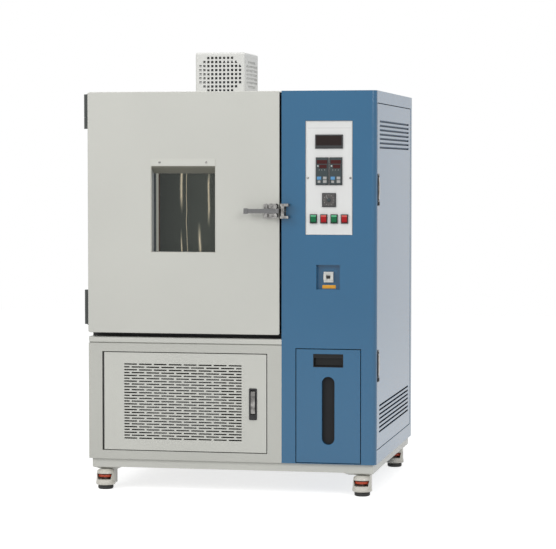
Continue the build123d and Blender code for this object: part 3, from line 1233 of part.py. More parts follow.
def make_button_bezel(middle_x):
    """The square tube round a button cap, with a flange on the control plate."""
    front = PLATE_SINK - BUTTON_BEZEL_PROUD
    flange = facing_front(button_outline(middle_x, 0), (front, PLATE_SINK))
    body = facing_front(button_outline(middle_x, BUTTON_BEZEL_WALL / 2), (PLATE_SINK, BUTTON_BODY_DEPTH))
    room = (front, PLATE_SINK + BUTTON_CAP_LENGTH)
    return flange + body - facing_front(button_outline(middle_x, BUTTON_BEZEL_WALL), room)


def make_button_cap(middle_x):
    """The coloured cap that travels inside its bezel."""
    front = PLATE_SINK - BUTTON_CAP_PROUD
    outline = button_outline(middle_x, BUTTON_BEZEL_WALL + BUTTON_CAP_GAP)
    cap = facing_front(outline, (front, front + BUTTON_CAP_LENGTH))
    return fillet(cap.faces().sort_by(Axis.Y)[0].edges(), BUTTON_CAP_GAP * 2)


def breaker_axis():
    """The y and z values that the breaker's toggle turns about."""
    z = breaker_place()[1]
    return POCKET_DEPTH - BREAKER_PROUD, (z[0] + z[1]) / 2


def make_breaker():
    """The breaker: a body through the back of the pocket, a stepped front and a gap for the toggle."""
    x, z = breaker_place()
    front = POCKET_DEPTH - BREAKER_PROUD
    middle = (z[0] + z[1]) / 2
    body = block(x, (front, front + BREAKER_DEPTH), z)
    nose_z = (middle - BREAKER_NOSE_HEIGHT / 2, middle + BREAKER_NOSE_HEIGHT / 2)
    body += block(x, (front - BREAKER_NOSE, front), nose_z)
    middle_x = (x[0] + x[1]) / 2
    half = TOGGLE_WIDTH / 2 + FLAT_GAP
    room = TOGGLE_RADIUS + FLAT_GAP
    slot_x = (middle_x - half, middle_x + half)
    body -= rod_x(slot_x, front, middle, room)
    body -= block(slot_x, (front - BREAKER_NOSE, front), nose_z)
    return body + rod_x(slot_x, front, middle, TOGGLE_RADIUS / 2)


def make_toggle():
    """The black rocker of the breaker, tilted up."""
    x = breaker_place()[0]
    y, z = breaker_axis()
    middle_x = (x[0] + x[1]) / 2
    half = TOGGLE_WIDTH / 2
    hub = rod_x((-half, half), 0, 0, TOGGLE_RADIUS)
    tip = -TOGGLE_RADIUS - TOGGLE_LENGTH + TOGGLE_THICKNESS
    arm = block((-half, half), (tip, 0), (-TOGGLE_THICKNESS / 2, TOGGLE_THICKNESS / 2))
    toggle = hub + arm - rod_x((-half, half), 0, 0, TOGGLE_RADIUS / 2 + BEARING_CLEARANCE)
    return Pos(middle_x, y, z) * Rot(-TOGGLE_TILT, 0, 0) * toggle


def make_drawer():
    """The drawer: a thick front with openings for its pull and level window, and a shallow tray."""
    x = (DRAWER_LEFT, DRAWER_LEFT + DRAWER_WIDTH)
    middle = (x[0] + x[1]) / 2
    outline = rectangle(x, (DRAWER_LOW, DRAWER_HIGH)) - rectangle(*handle_place()) - level_slot(middle)
    front = facing_front(outline, (0, DRAWER_THICKNESS))
    inner = (x[0] + DRAWER_TRAY_GAP, x[1] - DRAWER_TRAY_GAP)
    depth = (DRAWER_THICKNESS, DRAWER_THICKNESS + DRAWER_TRAY_DEPTH)
    floor = block(inner, depth, (DRAWER_LOW, DRAWER_LOW + SHEET))
    height = (DRAWER_LOW + SHEET, DRAWER_LOW + DRAWER_TRAY_WALL)
    walls = [
        block((inner[0], inner[0] + SHEET), depth, height),
        block((inner[1] - SHEET, inner[1]), depth, height),
        block((inner[0] + SHEET, inner[1] - SHEET), (depth[1] - SHEET, depth[1]), height),
    ]
    return [front, floor] + walls


def handle_place():
    """The x and z values of the cut-out for the drawer's pull."""
    middle = DRAWER_LEFT + DRAWER_WIDTH / 2
    top = DRAWER_HIGH - HANDLE_FROM_TOP
    return (middle - HANDLE_WIDTH / 2, middle + HANDLE_WIDTH / 2), (top - HANDLE_HEIGHT, top)


def level_slot(middle):
    """The long round-ended slot of the level window."""
    top = DRAWER_HIGH - LEVEL_SLOT_FROM_TOP
    slot = Rot(0, 0, 90) * SlotOverall(LEVEL_SLOT_HEIGHT, LEVEL_SLOT_WIDTH)
    return Pos(middle, top - LEVEL_SLOT_HEIGHT / 2) * slot


def make_handle():
    """The moulded pull sunk in the drawer front: a floor, sloping side and lower walls, an upper wall and a
    bevelled lip to hook the fingers behind."""
    x, z = handle_place()
    wall = HANDLE_WALL
    depth = HANDLE_DEPTH
    left = [(x[0], 0), (x[0] + wall, 0), (x[0] + 2 * wall, depth), (x[0], depth)]
    right = [(x[1], 0), (x[1], depth), (x[1] - 2 * wall, depth), (x[1] - wall, 0)]
    sides = [
        Pos(0, 0, z[0]) * extrude(make_face(Polyline(*outline, close=True)), HANDLE_HEIGHT)
        for outline in (left, right)
    ]
    top = z[1] - wall
    lip_low = top - HANDLE_HEIGHT / 4
    lower = [(0, z[0]), (0, z[0] + wall), (depth, z[0] + 2 * wall), (depth, z[0])]
    upper = [(0, top), (0, z[1]), (depth, z[1]), (depth, top)]
    lip = [(0, top), (0, lip_low + HANDLE_LIP_BEVEL), (wall, lip_low), (wall, top)]
    across = [facing_side(make_face(Polyline(*outline, close=True)), x) for outline in (lower, upper, lip)]
    return [block(x, (depth, depth + wall), z)] + sides + [piece - sides for piece in across]


def make_level_window():
    """The clear strip in the slot of the drawer front."""
    middle = DRAWER_LEFT + DRAWER_WIDTH / 2
    front = DRAWER_THICKNESS - LEVEL_WINDOW_THICKNESS
    return facing_front(level_slot(middle), (front, DRAWER_THICKNESS))


def make_water_tank():
    """The water tank on the tray of the drawer, with its screw cap."""
    middle = DRAWER_LEFT + DRAWER_WIDTH / 2
    front = DRAWER_THICKNESS + TANK_FRONT_GAP
    low = DRAWER_LOW + SHEET
    x = (middle - TANK_WIDTH / 2, middle + TANK_WIDTH / 2)
    tank = block(x, (front, front + TANK_DEPTH), (low, low + TANK_HEIGHT))
    tank = fillet(tank.edges().filter_by(Axis.Z), TANK_RADIUS)
    neck_y = front + TANK_DEPTH / 4
    cap = post(middle, neck_y, (low + TANK_HEIGHT, low + TANK_HEIGHT + TANK_CAP_HEIGHT), TANK_CAP_RADIUS)
    return [tank, cap]


def cover_place():
    """The x and y values of the fan motor's cover."""
    front = FAN_Y - COVER_FRONT_REACH
    return (FAN_X - COVER_WIDTH / 2, FAN_X + COVER_WIDTH / 2), (front, front + COVER_DEPTH)


def cover_holes(middle, top, columns_of_rows):
    """A field of square holes, with the given number of columns in each row from the top down."""
    holes = []
    for row, columns in enumerate(columns_of_rows):
        z = top - row * COVER_HOLE_PITCH
        for column in range(columns):
            start = middle + (column - (columns - 1) / 2) * COVER_HOLE_PITCH - COVER_HOLE / 2
            holes.append(rectangle((start, start + COVER_HOLE), (z - COVER_HOLE, z)))
    return Sketch() + holes


def make_motor_cover():
    """The sheet cover over the fan motor, open at the bottom, with an eight-sided field of square holes in its
    front and back and a plainer field in each side."""
    x, y = cover_place()
    wall = COVER_SHEET
    cover = block(x, y, (ROOF, ROOF + COVER_HEIGHT))
    cover = fillet(cover.edges().filter_by(Axis.Z) + cover.edges().group_by(Axis.Z)[-1], COVER_RADIUS)
    room = block((x[0] + wall, x[1] - wall), (y[0] + wall, y[1] - wall), (ROOF, ROOF + COVER_HEIGHT - wall))
    room = fillet(room.edges().filter_by(Axis.Z) + room.edges().group_by(Axis.Z)[-1], COVER_RADIUS - wall)
    top = ROOF + COVER_HEIGHT - COVER_HOLES_TOP_MARGIN
    from_edge = [min(row, COVER_ROWS - 1 - row) for row in range(COVER_ROWS)]
    front_rows = [min(COVER_COLUMNS, COVER_COLUMNS - 4 + 2 * rows) for rows in from_edge]
    side_rows = [COVER_SIDE_COLUMNS if rows > 1 else COVER_SIDE_COLUMNS - 4 for rows in from_edge[1:-1]]
    middle_y = (y[0] + y[1]) / 2
    cover -= room
    cover -= facing_front(cover_holes(FAN_X, top, front_rows), y)
    return cover - facing_side(cover_holes(middle_y, top - COVER_HOLE_PITCH, side_rows), x)


def make_fan_motor():
    """The motor on the roof with a bore for the fan's shaft."""
    half = MOTOR_FOOT / 2
    base = ROOF + MOTOR_FOOT_THICKNESS
    foot = block(grown((FAN_X, FAN_X), half), grown((FAN_Y, FAN_Y), half), (ROOF, base))
    motor = foot + post(FAN_X, FAN_Y, (base, base + MOTOR_HEIGHT), MOTOR_RADIUS)
    motor += post(FAN_X, FAN_Y, (base + MOTOR_HEIGHT, base + MOTOR_HEIGHT + MOTOR_CAP_HEIGHT), MOTOR_CAP_RADIUS)
    bore = post(FAN_X, FAN_Y, (ROOF, base + FAN_SHAFT_ENGAGEMENT), FAN_SHAFT_RADIUS + BEARING_CLEARANCE)
    return motor - bore


def make_fan_wheel():
    """The centrifugal wheel and its shaft: a disc, a ring and curved blades between them."""
    top = MOUTH_HIGH - FAN_CEILING_GAP
    low = top - FAN_HEIGHT
    shaft_top = ROOF + MOTOR_FOOT_THICKNESS + FAN_SHAFT_ENGAGEMENT - FLAT_GAP
    wheel = post(FAN_X, FAN_Y, (top - FAN_DISC, top), FAN_RADIUS)
    wheel += post(FAN_X, FAN_Y, (top - FAN_HUB_HEIGHT, top), FAN_HUB_RADIUS)
    wheel += post(FAN_X, FAN_Y, (top, shaft_top), FAN_SHAFT_RADIUS)
    ring = Circle(FAN_RADIUS) - Circle(FAN_INNER_RADIUS)
    wheel += Pos(FAN_X, FAN_Y, low) * extrude(ring, FAN_DISC)
    inner = FAN_INNER_RADIUS + FAN_DISC
    outer = FAN_RADIUS - FAN_DISC
    tip = (outer * cos(radians(12)), outer * sin(radians(12)))
    blade = trace(RadiusArc((inner, 0), tip, FAN_HUB_RADIUS * 1.5), FAN_DISC / 2)
    for number in range(FAN_BLADES):
        turn = Rot(0, 0, 360 * number / FAN_BLADES)
        wheel += Pos(FAN_X, FAN_Y, low) * turn * extrude(blade, FAN_HEIGHT)
    return wheel


def condenser_middle():
    """The x and z values of the condenser fan's axis."""
    return CONDENSER_LEFT + CONDENSER_WIDTH / 2, MACHINE_FLOOR + CONDENSER_PEDESTAL + CONDENSER_HEIGHT / 2


def make_condenser():
    """The condenser, a fin pack between end plates, on its pedestal, with the shroud and the fan motor on a
    cross bar behind it."""
    x = (CONDENSER_LEFT, CONDENSER_LEFT + CONDENSER_WIDTH)
    low = MACHINE_FLOOR + CONDENSER_PEDESTAL
    z = (low, low + CONDENSER_HEIGHT)
    y = (CONDENSER_FRONT, CONDENSER_FRONT + CONDENSER_DEPTH)
    plate = SHEET
    coil = [
        block((x[0], x[0] + plate), y, z),
        block((x[1] - plate, x[1]), y, z),
        block((x[0] + plate, x[1] - plate), y, z),
    ]
    tube_pitch = CONDENSER_HEIGHT / CONDENSER_TUBES
    middle_y = (y[0] + y[1]) / 2
    for number in range(CONDENSER_TUBES):
        level = low + tube_pitch * (number + 0.5)
        coil.append(rod_x((x[1], x[1] + COIL_TUBE_STUB), middle_y, level, COIL_TUBE_RADIUS))
    fan_x, fan_z = condenser_middle()
    shroud_y = (y[1], y[1] + SHROUD_DEPTH)
    shroud = block(x, shroud_y, z)
    shroud -= rod_y(fan_x, shroud_y, fan_z, CONDENSER_FAN_RADIUS + CONDENSER_FAN_GAP)
    pedestal = block(x, (y[0], shroud_y[1]), (MACHINE_FLOOR, low))
    motor_front = shroud_y[1] + CONDENSER_FAN_GAP
    bar_half = CONDENSER_HUB_RADIUS / 2
    bar = block(x, (shroud_y[1], motor_front + SHEET), (fan_z - bar_half, fan_z + bar_half))
    bar -= rod_y(fan_x, (shroud_y[1], motor_front), fan_z, CONDENSER_HUB_RADIUS + CONDENSER_FAN_GAP)
    motor = rod_y(fan_x, (motor_front, motor_front + CONDENSER_MOTOR_LENGTH), fan_z, CONDENSER_MOTOR_RADIUS)
    bore_y = (shroud_y[1], motor_front + CONDENSER_MOTOR_LENGTH / 2)
    bore = rod_y(fan_x, bore_y, fan_z, CONDENSER_SHAFT_RADIUS + BEARING_CLEARANCE)
    return coil + [shroud, pedestal, bar + motor - bore]


def make_condenser_fan():
    """The axial fan in the shroud, on the shaft of its motor."""
    fan_x, fan_z = condenser_middle()
    front = CONDENSER_FRONT + CONDENSER_DEPTH + CONDENSER_FAN_GAP
    back = CONDENSER_FRONT + CONDENSER_DEPTH + SHROUD_DEPTH - CONDENSER_FAN_GAP
    shaft_end = back + 2 * CONDENSER_FAN_GAP + CONDENSER_MOTOR_LENGTH / 2 - 1
    fan = rod_y(0, (front, back), 0, CONDENSER_HUB_RADIUS)
    fan += rod_y(0, (back, shaft_end), 0, CONDENSER_SHAFT_RADIUS)
    span = CONDENSER_FAN_RADIUS - CONDENSER_HUB_RADIUS / 2
    pitch = 32.0
    middle = (front + back) / 2
    chord = (back - front) / sin(radians(pitch)) * 0.8
    for number in range(CONDENSER_FAN_BLADES):
        flat = Box(chord, SHEET, span, align=(Align.CENTER, Align.CENTER, Align.MIN))
        blade = Pos(0, middle, CONDENSER_HUB_RADIUS / 2) * Rot(0, 0, pitch) * flat
        fan += Rot(0, 360 * number / CONDENSER_FAN_BLADES, 0) * blade
    return Pos(fan_x, 0, fan_z) * fan


def make_compressor():
    """The hermetic compressor: a domed can on a foot plate with rubber legs and two pipe stubs."""
    x, y = COMPRESSOR_PLACE
    base = MACHINE_FLOOR
    half = COMPRESSOR_FOOT / 2
    plate_z = (base + COMPRESSOR_LEG, base + COMPRESSOR_LEG + SHEET * 2)
    top = plate_z[1] + COMPRESSOR_HEIGHT
    radius = COMPRESSOR_RADIUS
    dome = [
        (0, plate_z[1]),
        (radius, plate_z[1]),
        (radius, top - radius * 0.5),
        (radius * 0.87, top - radius * 0.25),
        (radius * 0.5, top - radius * 0.05),
        (0, top),
    ]
    can = Pos(x, y, 0) * revolve(Plane.XZ * make_face(Polyline(*dome, close=True)), Axis.Z)
    can += block((x - half, x + half), (y - half, y + half), plate_z)
    leg = half - COMPRESSOR_LEG
    for side_x in (-1, 1):
        for side_y in (-1, 1):
            can += post(x + side_x * leg, y + side_y * leg, (base, plate_z[0]), COMPRESSOR_LEG / 2)
    pipe_z = plate_z[1] + COMPRESSOR_HEIGHT / 2
    return can + rod_x((x, x + COMPRESSOR_RADIUS + 3 * COMPRESSOR_LEG), y, pipe_z, COIL_TUBE_RADIUS)


def make_electrics():
    """The mounting plate in the tower with a contactor, a transformer, relays and a terminal row."""
    left = CHAMBER_WIDTH + SHEET
    plate_x = (left + ELECTRICS_GAP, left + ELECTRICS_GAP + SHEET)
    y = (ELECTRICS_FRONT, ELECTRICS_FRONT + ELECTRICS_DEPTH)
    low = ELECTRICS_LEVEL
    high = low + ELECTRICS_HEIGHT
    pieces = [block(plate_x, y, (low, high))]
    for spacer_y in (y[0], y[1] - 4 * ELECTRICS_GAP):
        pieces.append(block((left, plate_x[0]), (spacer_y, spacer_y + 4 * ELECTRICS_GAP), (low, high)))
    face = plate_x[1]
    pitch = ELECTRICS_DEPTH / (RELAY_COUNT + 1)
    relay_z = (high - RELAY_FROM_TOP - RELAY_HEIGHT, high - RELAY_FROM_TOP)
    for number in range(RELAY_COUNT):
        start = y[0] + pitch * (number + 0.75)
        relay_y = (start, start + pitch * 0.45)
        pieces += stepped_unit(face, (RELAY_DEPTH, RELAY_FACE), relay_y, relay_z, RELAY_FACE_MARGIN)
    place_y, place_z = y[0] + TRANSFORMER_PLACE[0], low + TRANSFORMER_PLACE[1]
    depth, width, height = TRANSFORMER_SIZE
    transformer = block((face, face + depth), (place_y, place_y + width), (place_z, place_z + height))
    pieces.append(chamfer(transformer.faces().sort_by(Axis.X)[-1].edges(), TRANSFORMER_BEVEL))
    place_y, place_z = y[0] + CONTACTOR_PLACE[0], low + CONTACTOR_PLACE[1]
    depth, width, height = CONTACTOR_SIZE
    unit_y, unit_z = (place_y, place_y + width), (place_z, place_z + height)
    pieces += stepped_unit(face, (depth, CONTACTOR_FACE), unit_y, unit_z, CONTACTOR_FACE_MARGIN)
    rail_depth, rail_height = TERMINAL_RAIL
    depth, height = TERMINAL_SIZE
    level = low + TERMINAL_LEVEL
    rail_low = level + (height - rail_height) / 2
    rail_y = grown(y, -TERMINAL_END_GAP)
    pieces.append(block((face, face + rail_depth), rail_y, (rail_low, rail_low + rail_height)))
    terminal_pitch = (rail_y[1] - rail_y[0]) / TERMINAL_COUNT
    front = face + rail_depth
    for number in range(TERMINAL_COUNT):
        start = rail_y[0] + terminal_pitch * number
        terminal_y = (start, start + terminal_pitch * 0.85)
        pieces.append(block((front, front + depth), terminal_y, (level, level + height)))
    return pieces


def stepped_unit(face, depths, y, z, margin):
    """A switching unit on the mounting plate: its body and the smaller raised part on its front."""
    body_front = face + depths[0]
    body = block((face, body_front), y, z)
    return [body, block((body_front, body_front + depths[1]), grown(y, -margin / 2), grown(z, -margin))]


def plain_list(pieces):
    """All the solids of a nested list of pieces."""
    if isinstance(pieces, (list, tuple)):
        return [solid for piece in pieces for solid in plain_list(piece)]
    return list(pieces.solids())


def write_node(name, *pieces):
    """Moves the pieces of one node so that the origin is the middle of the floor area, and writes them."""
    shift = Location((-MIDDLE_X, -MIDDLE_Y, 0))
    solids = [solid.moved(shift) for solid in plain_list(pieces)]
    export_step(Compound(children=solids), f"parts/{name}.step")


def write_all():
    """Makes and writes every node."""
    os.makedirs("parts", exist_ok=True)
    write_node("base_frame", make_base_frame())
    for name, x, y in corner_places(CASTER_INSET):
        write_node(f"caster_housing_{name}", make_caster_housing(x, y))
        write_node(f"caster_wheel_{name}", make_caster_wheel(x, y))
        write_node(f"caster_foot_{name}", make_caster_foot(x, y))
    write_node("cabinet_casing", make_cabinet_casing())
    write_node("lower_front_frame", make_front_frame())
    write_node("breaker_strip", make_breaker_strip())
    write_node("chamber_liner", make_liner())
    write_node("chamber_foam", make_foam())
    write_node("air_baffle", make_baffle())
    write_node("air_coils", make_air_coils())
    write_node("shelf", make_shelf())
    write_node("door_shell", make_door_shell())
    write_node("door_liner", make_door_liner())
    write_node("door_foam", make_door_foam())
    write_node("door_gasket", make_gasket())
    write_node("window_glazing", make_glazing())
    write_node("window_frame", make_window_frame())
    write_node("hinge_brackets", make_hinge_brackets())
    write_node("hinge_leaves", make_hinge_leaves())
    write_node("latch_base", make_latch_base())
    write_node("latch_lever", make_latch_lever())
    write_node("latch_keeper", make_latch_keeper())
    write_node("vent_door", make_vent_door())
    write_node("vent_latch_cup", at_vent_latch(make_latch_cup()))
    write_node("vent_latch_blade", at_vent_latch(make_latch_blade()))
    write_node("tower_casing", make_tower_casing())
    write_node("side_door", make_side_door())
    levels = (SIDE_LATCH_UPPER, SIDE_LATCH_LOWER)
    write_node("side_latch_cups", [at_side_latch(make_latch_cup(), level) for level in levels])
    write_node("side_latch_blade_upper", at_side_latch(make_latch_blade(), SIDE_LATCH_UPPER))
    write_node("side_latch_blade_lower", at_side_latch(make_latch_blade(), SIDE_LATCH_LOWER))
    meter, controllers, timer = instrument_places()
    write_node("control_plate", make_control_plate())
    write_node("panel_instruments", [instrument(*place) for place in [meter, timer] + controllers])
    write_node("button_bezels", [make_button_bezel(middle) for middle in button_places()])
    for number, middle in enumerate(button_places(), start=1):
        write_node(f"button_cap_{number}", make_button_cap(middle))
    write_node("breaker_body", make_breaker())
    write_node("breaker_toggle", make_toggle())
    write_node("drawer", make_drawer())
    write_node("drawer_pull", make_handle())
    write_node("level_window", make_level_window())
    write_node("water_tank", make_water_tank())
    write_node("motor_cover", make_motor_cover())
    write_node("fan_motor", make_fan_motor())
    write_node("fan_wheel", make_fan_wheel())
    write_node("condenser", make_condenser())
    write_node("condenser_fan", make_condenser_fan())
    write_node("compressor", make_compressor())
    write_node("electrics_plate", make_electrics())


write_all()
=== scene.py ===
import math

import bpy
import numpy as np
from mathutils import Matrix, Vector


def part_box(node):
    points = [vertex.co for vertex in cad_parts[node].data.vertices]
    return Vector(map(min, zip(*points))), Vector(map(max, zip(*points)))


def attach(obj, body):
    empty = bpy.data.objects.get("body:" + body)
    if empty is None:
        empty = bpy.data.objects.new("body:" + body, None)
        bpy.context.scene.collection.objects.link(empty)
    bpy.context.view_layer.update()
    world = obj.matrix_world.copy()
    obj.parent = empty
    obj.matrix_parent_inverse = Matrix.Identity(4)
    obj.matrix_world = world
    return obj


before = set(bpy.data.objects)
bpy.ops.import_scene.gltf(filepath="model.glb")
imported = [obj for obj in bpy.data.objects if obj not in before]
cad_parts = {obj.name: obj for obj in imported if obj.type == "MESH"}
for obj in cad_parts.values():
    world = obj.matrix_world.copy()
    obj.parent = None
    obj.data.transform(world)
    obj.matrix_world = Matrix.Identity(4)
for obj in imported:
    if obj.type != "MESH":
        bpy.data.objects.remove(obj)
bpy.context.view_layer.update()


# Base frame. Four square steel tubes welded into a ring, with a bevelled plate under each corner.
# It has the same cream stove enamel as the cabinet that stands on it: a thin glossy coat with the
# slight orange peel that sprayed paint keeps.
class Wire:
    """One value in a shader. Arithmetic on it adds the Math nodes that work it out."""

    def __init__(self, finish, socket):
        self.finish = finish
        self.socket = socket

    def math(self, operation, first, second=None, clamp=False):
        values = {0: first} if second is None else {0: first, 1: second}
        settings = {"operation": operation, "use_clamp": clamp}
        return self.finish.node("ShaderNodeMath", settings, values)

    def __add__(self, other):
        return self.math("ADD", self, other)

    def __radd__(self, other):
        return self.math("ADD", other, self)

    def __sub__(self, other):
        return self.math("SUBTRACT", self, other)

    def __rsub__(self, other):
        return self.math("SUBTRACT", other, self)

    def __mul__(self, other):
        return self.math("MULTIPLY", self, other)

    def __rmul__(self, other):
        return self.math("MULTIPLY", other, self)

    def __truediv__(self, other):
        return self.math("DIVIDE", self, other)

    def __pow__(self, other):
        return self.math("POWER", self, other)

    def size(self):
        return self.math("ABSOLUTE", self)

    def clamped(self):
        return self.math("ADD", self, 0.0, clamp=True)

    def sine(self):
        return self.math("SINE", self)


class Finish:
    """A material: constants go straight onto the shader's sockets, and what varies is wired in."""

    def __init__(self, name, constants):
        self.material = bpy.data.materials.new(name)
        self.material.use_nodes = True
        self.tree = self.material.node_tree
        self.shader = self.tree.nodes["Principled BSDF"]
        for socket, value in constants.items():
            self.shader.inputs[socket].default_value = value

    def node(self, kind, settings=None, values=None, output=0):
        """Adds one node: its settings first, then the values or links of its sockets."""
        node = self.tree.nodes.new(kind)
        for name, value in (settings or {}).items():
            if name == "stops":
                for number, (place, colour) in enumerate(value):
                    elements = node.color_ramp.elements
                    stop = elements[number] if number < 2 else elements.new(place)
                    stop.position = place
                    stop.color = (*colour, 1.0)
            else:
                setattr(node, name, value)
        for name, value in (values or {}).items():
            if isinstance(value, Wire):
                self.tree.links.new(value.socket, node.inputs[name])
            else:
                node.inputs[name].default_value = value
        return Wire(self, node.outputs[output])

    def place(self):
        """The point on the object, as a vector in metres."""
        return self.node("ShaderNodeTexCoord", output="Object")

    def axes(self):
        """The x, y and z of the point on the object."""
        point = self.place()
        return [self.node("ShaderNodeSeparateXYZ", None, {0: point}, output) for output in range(3)]

    def noise(self, scale, detail=3.0, stretch=(1.0, 1.0, 1.0)):
        """Noise of about the given number of spots per metre, stretched along the axes."""
        point = self.node("ShaderNodeMapping", None, {0: self.place(), "Scale": stretch})
        return self.node("ShaderNodeTexNoise", None, {"Vector": point, "Scale": scale, "Detail": detail})

    def blend(self, share, first, second):
        """A colour that goes from the first to the second as the share goes from 0 to 1."""
        colours = [colour if isinstance(colour, Wire) else (*colour, 1.0) for colour in (first, second)]
        values = {0: share, 6: colours[0], 7: colours[1]}
        return self.node("ShaderNodeMix", {"data_type": "RGBA"}, values, 2)

    def step(self, value, edge, width=0.0004):
        """0 below the edge and 1 above it, with a short ramp between."""
        values = {0: value, 1: edge - width, 2: edge + width, 3: 0.0, 4: 1.0}
        return self.node("ShaderNodeMapRange", {"clamp": True}, values)

    def between(self, value, low, high, width=0.0004):
        """1 between two edges and 0 outside them."""
        return self.step(value, low, width) * (1.0 - self.step(value, high, width))

    def feed(self, socket, wire):
        self.tree.links.new(wire.socket, self.shader.inputs[socket])

    def bump(self, height, distance, strength=1.0):
        """Lets a height in metres of relief tilt the surface."""
        values = {"Strength": strength, "Distance": distance, "Height": height}
        self.feed("Normal", self.node("ShaderNodeBump", None, values))


def dress(finish, *nodes):
    """Gives a finish to CAD nodes."""
    for node in nodes:
        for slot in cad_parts[node].material_slots:
            slot.material = finish.material


def sprayed(name, colour, shade, roughness=0.34, peel=0.00006, over=None):
    """Sprayed enamel: the colour drifts a little over the panel, and the coat has a fine orange peel.
    A function given as over lays other colours on parts of the coat."""
    finish = Finish(name, {"IOR": 1.5})
    drift = finish.noise(2.2, 2.0)
    speck = finish.noise(240.0, 2.0)
    share = ((drift - 0.5) * 1.6 + 0.5 + (speck - 0.5) * 0.35).clamped()
    coat = finish.blend(share, shade, colour)
    finish.feed("Base Color", over(finish, coat) if over else coat)
    finish.feed("Roughness", (drift - 0.5) * 0.12 + (speck - 0.5) * 0.08 + roughness)
    finish.bump(finish.noise(420.0, 2.0), peel)
    return finish


CREAM = (0.540, 0.542, 0.500)
CREAM_SHADE = (0.500, 0.502, 0.465)
cream = sprayed("cream_enamel", CREAM, CREAM_SHADE)
dress(cream, "base_frame")


# Levelling casters. A cast housing swivels under each corner plate. A black wheel runs in its rear
# fork, and a rubber pad on a screw stands in front of it. A ribbed orange-red thumbwheel turns the
# screw through the window of the housing, so that the pad lifts the wheel off the floor.
CORNERS = ("front_left", "front_right", "rear_left", "rear_right")
RIBS = 36
RING_RADIUS = 0.0254
RING_RELIEF = 0.0006


def surface(name, points, finish, closed_u=False, closed_v=False, smooth=True, flip=False):
    """A mesh from a grid of points, given as an array of rows by columns by x, y and z. A closed
    direction joins its last line of points to its first."""
    rows, columns = points.shape[:2]
    u = np.arange(rows if closed_u else rows - 1)
    v = np.arange(columns if closed_v else columns - 1)
    first, second = np.meshgrid(u, v, indexing="ij")
    next_u = (first + 1) % rows
    next_v = (second + 1) % columns
    corners = [first * columns + second, next_u * columns + second]
    corners += [next_u * columns + next_v, first * columns + next_v]
    faces = np.stack([corner.ravel() for corner in corners], axis=1)
    if flip:
        faces = faces[:, ::-1]
    mesh = bpy.data.meshes.new(name)
    mesh.from_pydata(points.reshape(-1, 3).tolist(), [], faces.tolist())
    mesh.polygons.foreach_set("use_smooth", np.full(len(faces), smooth))
    piece = bpy.data.objects.new(name, mesh)
    bpy.context.scene.collection.objects.link(piece)
    mesh.materials.append(finish.material)
    return piece


def turned(profile, centre, axis="z", sides=48, ripple=None):
    """A turned shape as a grid: the profile's radii and heights are carried round an axis. A ripple,
    one value for each side, is added to the radii."""
    angle = np.linspace(0.0, 2.0 * math.pi, sides, endpoint=False)
    radius = np.asarray([point[0] for point in profile])[:, None]
    height = np.asarray([point[1] for point in profile])[:, None] * np.ones(sides)
    if ripple is not None:
        radius = radius + ripple[None, :] * (radius > 1e-6)
    a = radius * np.cos(angle)
    b = radius * np.sin(angle)
    order = {"z": (a, b, height), "y": (a, -height, b), "x": (height, a, b)}[axis]
    return np.stack(order, axis=-1) + np.asarray(centre)


def moulded(name, colour, shade, roughness=0.5, grain=900.0, relief=0.00004):
    """Moulded plastic: an even colour with a fine spark-eroded grain."""
    finish = Finish(name, {"IOR": 1.46})
    drift = finish.noise(14.0, 3.0)
    finish.feed("Base Color", finish.blend(drift, shade, colour))
    finish.feed("Roughness", (drift - 0.5) * 0.2 + roughness)
    finish.bump(finish.noise(grain, 2.0), relief)
    return finish


ivory = sprayed("ivory_enamel", (0.62, 0.60, 0.545), (0.54, 0.52, 0.46), 0.26)
tread = moulded("black_nylon_wheel", (0.022, 0.022, 0.023), (0.014, 0.014, 0.014), 0.55)
thumb_red = moulded("orange_red_thumbwheel", (0.50, 0.060, 0.018), (0.38, 0.040, 0.012), 0.35)

PAD_TOP = 0.0112
THUMBWHEEL = (0.0425, 0.0519)
RIM_INNER = 0.0240
RIM_ROUND = 0.0009
foot = Finish("rubber_pad_and_zinc_screw", {"IOR": 1.5})
x, y, z = foot.axes()
above_pad = foot.step(z, PAD_TOP)
thumbwheel_part = foot.between(z, *THUMBWHEEL)
grime = foot.noise(60.0, 4.0)
rubber = foot.blend(grime, (0.018, 0.018, 0.018), (0.035, 0.034, 0.032))
foot_colour = foot.blend(above_pad, rubber, (0.42, 0.42, 0.41))
foot.feed("Base Color", foot.blend(thumbwheel_part, foot_colour, (0.46, 0.055, 0.016)))
foot.feed("Metallic", above_pad * (1.0 - thumbwheel_part))
foot.feed("Roughness", 0.75 - above_pad * 0.35 + (grime - 0.5) * 0.15)
foot.bump((z * 4200.0).sine() * above_pad, 0.0003)

for corner in CORNERS:
    dress(ivory, f"caster_housing_{corner}")
    dress(tread, f"caster_wheel_{corner}")
    dress(foot, f"caster_foot_{corner}")
    low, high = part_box(f"caster_foot_{corner}")
    centre = ((low[0] + high[0]) / 2, (low[1] + high[1]) / 2, 0.0)
    side = np.linspace(0.0, 2.0 * math.pi, 4 * RIBS, endpoint=False)
    ribs = RING_RELIEF * np.clip(1.6 * np.cos(RIBS * side), -1.0, 1.0) / 2
    low, high = THUMBWHEEL[0] + 0.0003, THUMBWHEEL[1] - 0.0004
    profile = [(RIM_INNER, low), (RING_RADIUS - RIM_ROUND, low + 0.0001), (RING_RADIUS, low + 0.0010)]
    profile += [(RING_RADIUS, high - 0.0010), (RING_RADIUS - RIM_ROUND, high - 0.0001), (RIM_INNER, high)]
    ring = turned(profile, centre, sides=4 * RIBS, ripple=ribs)
    piece = surface(f"thumbwheel_rim_{corner}", ring, thumb_red, closed_v=True, closed_u=True)
    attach(piece, f"foot_{corner}")


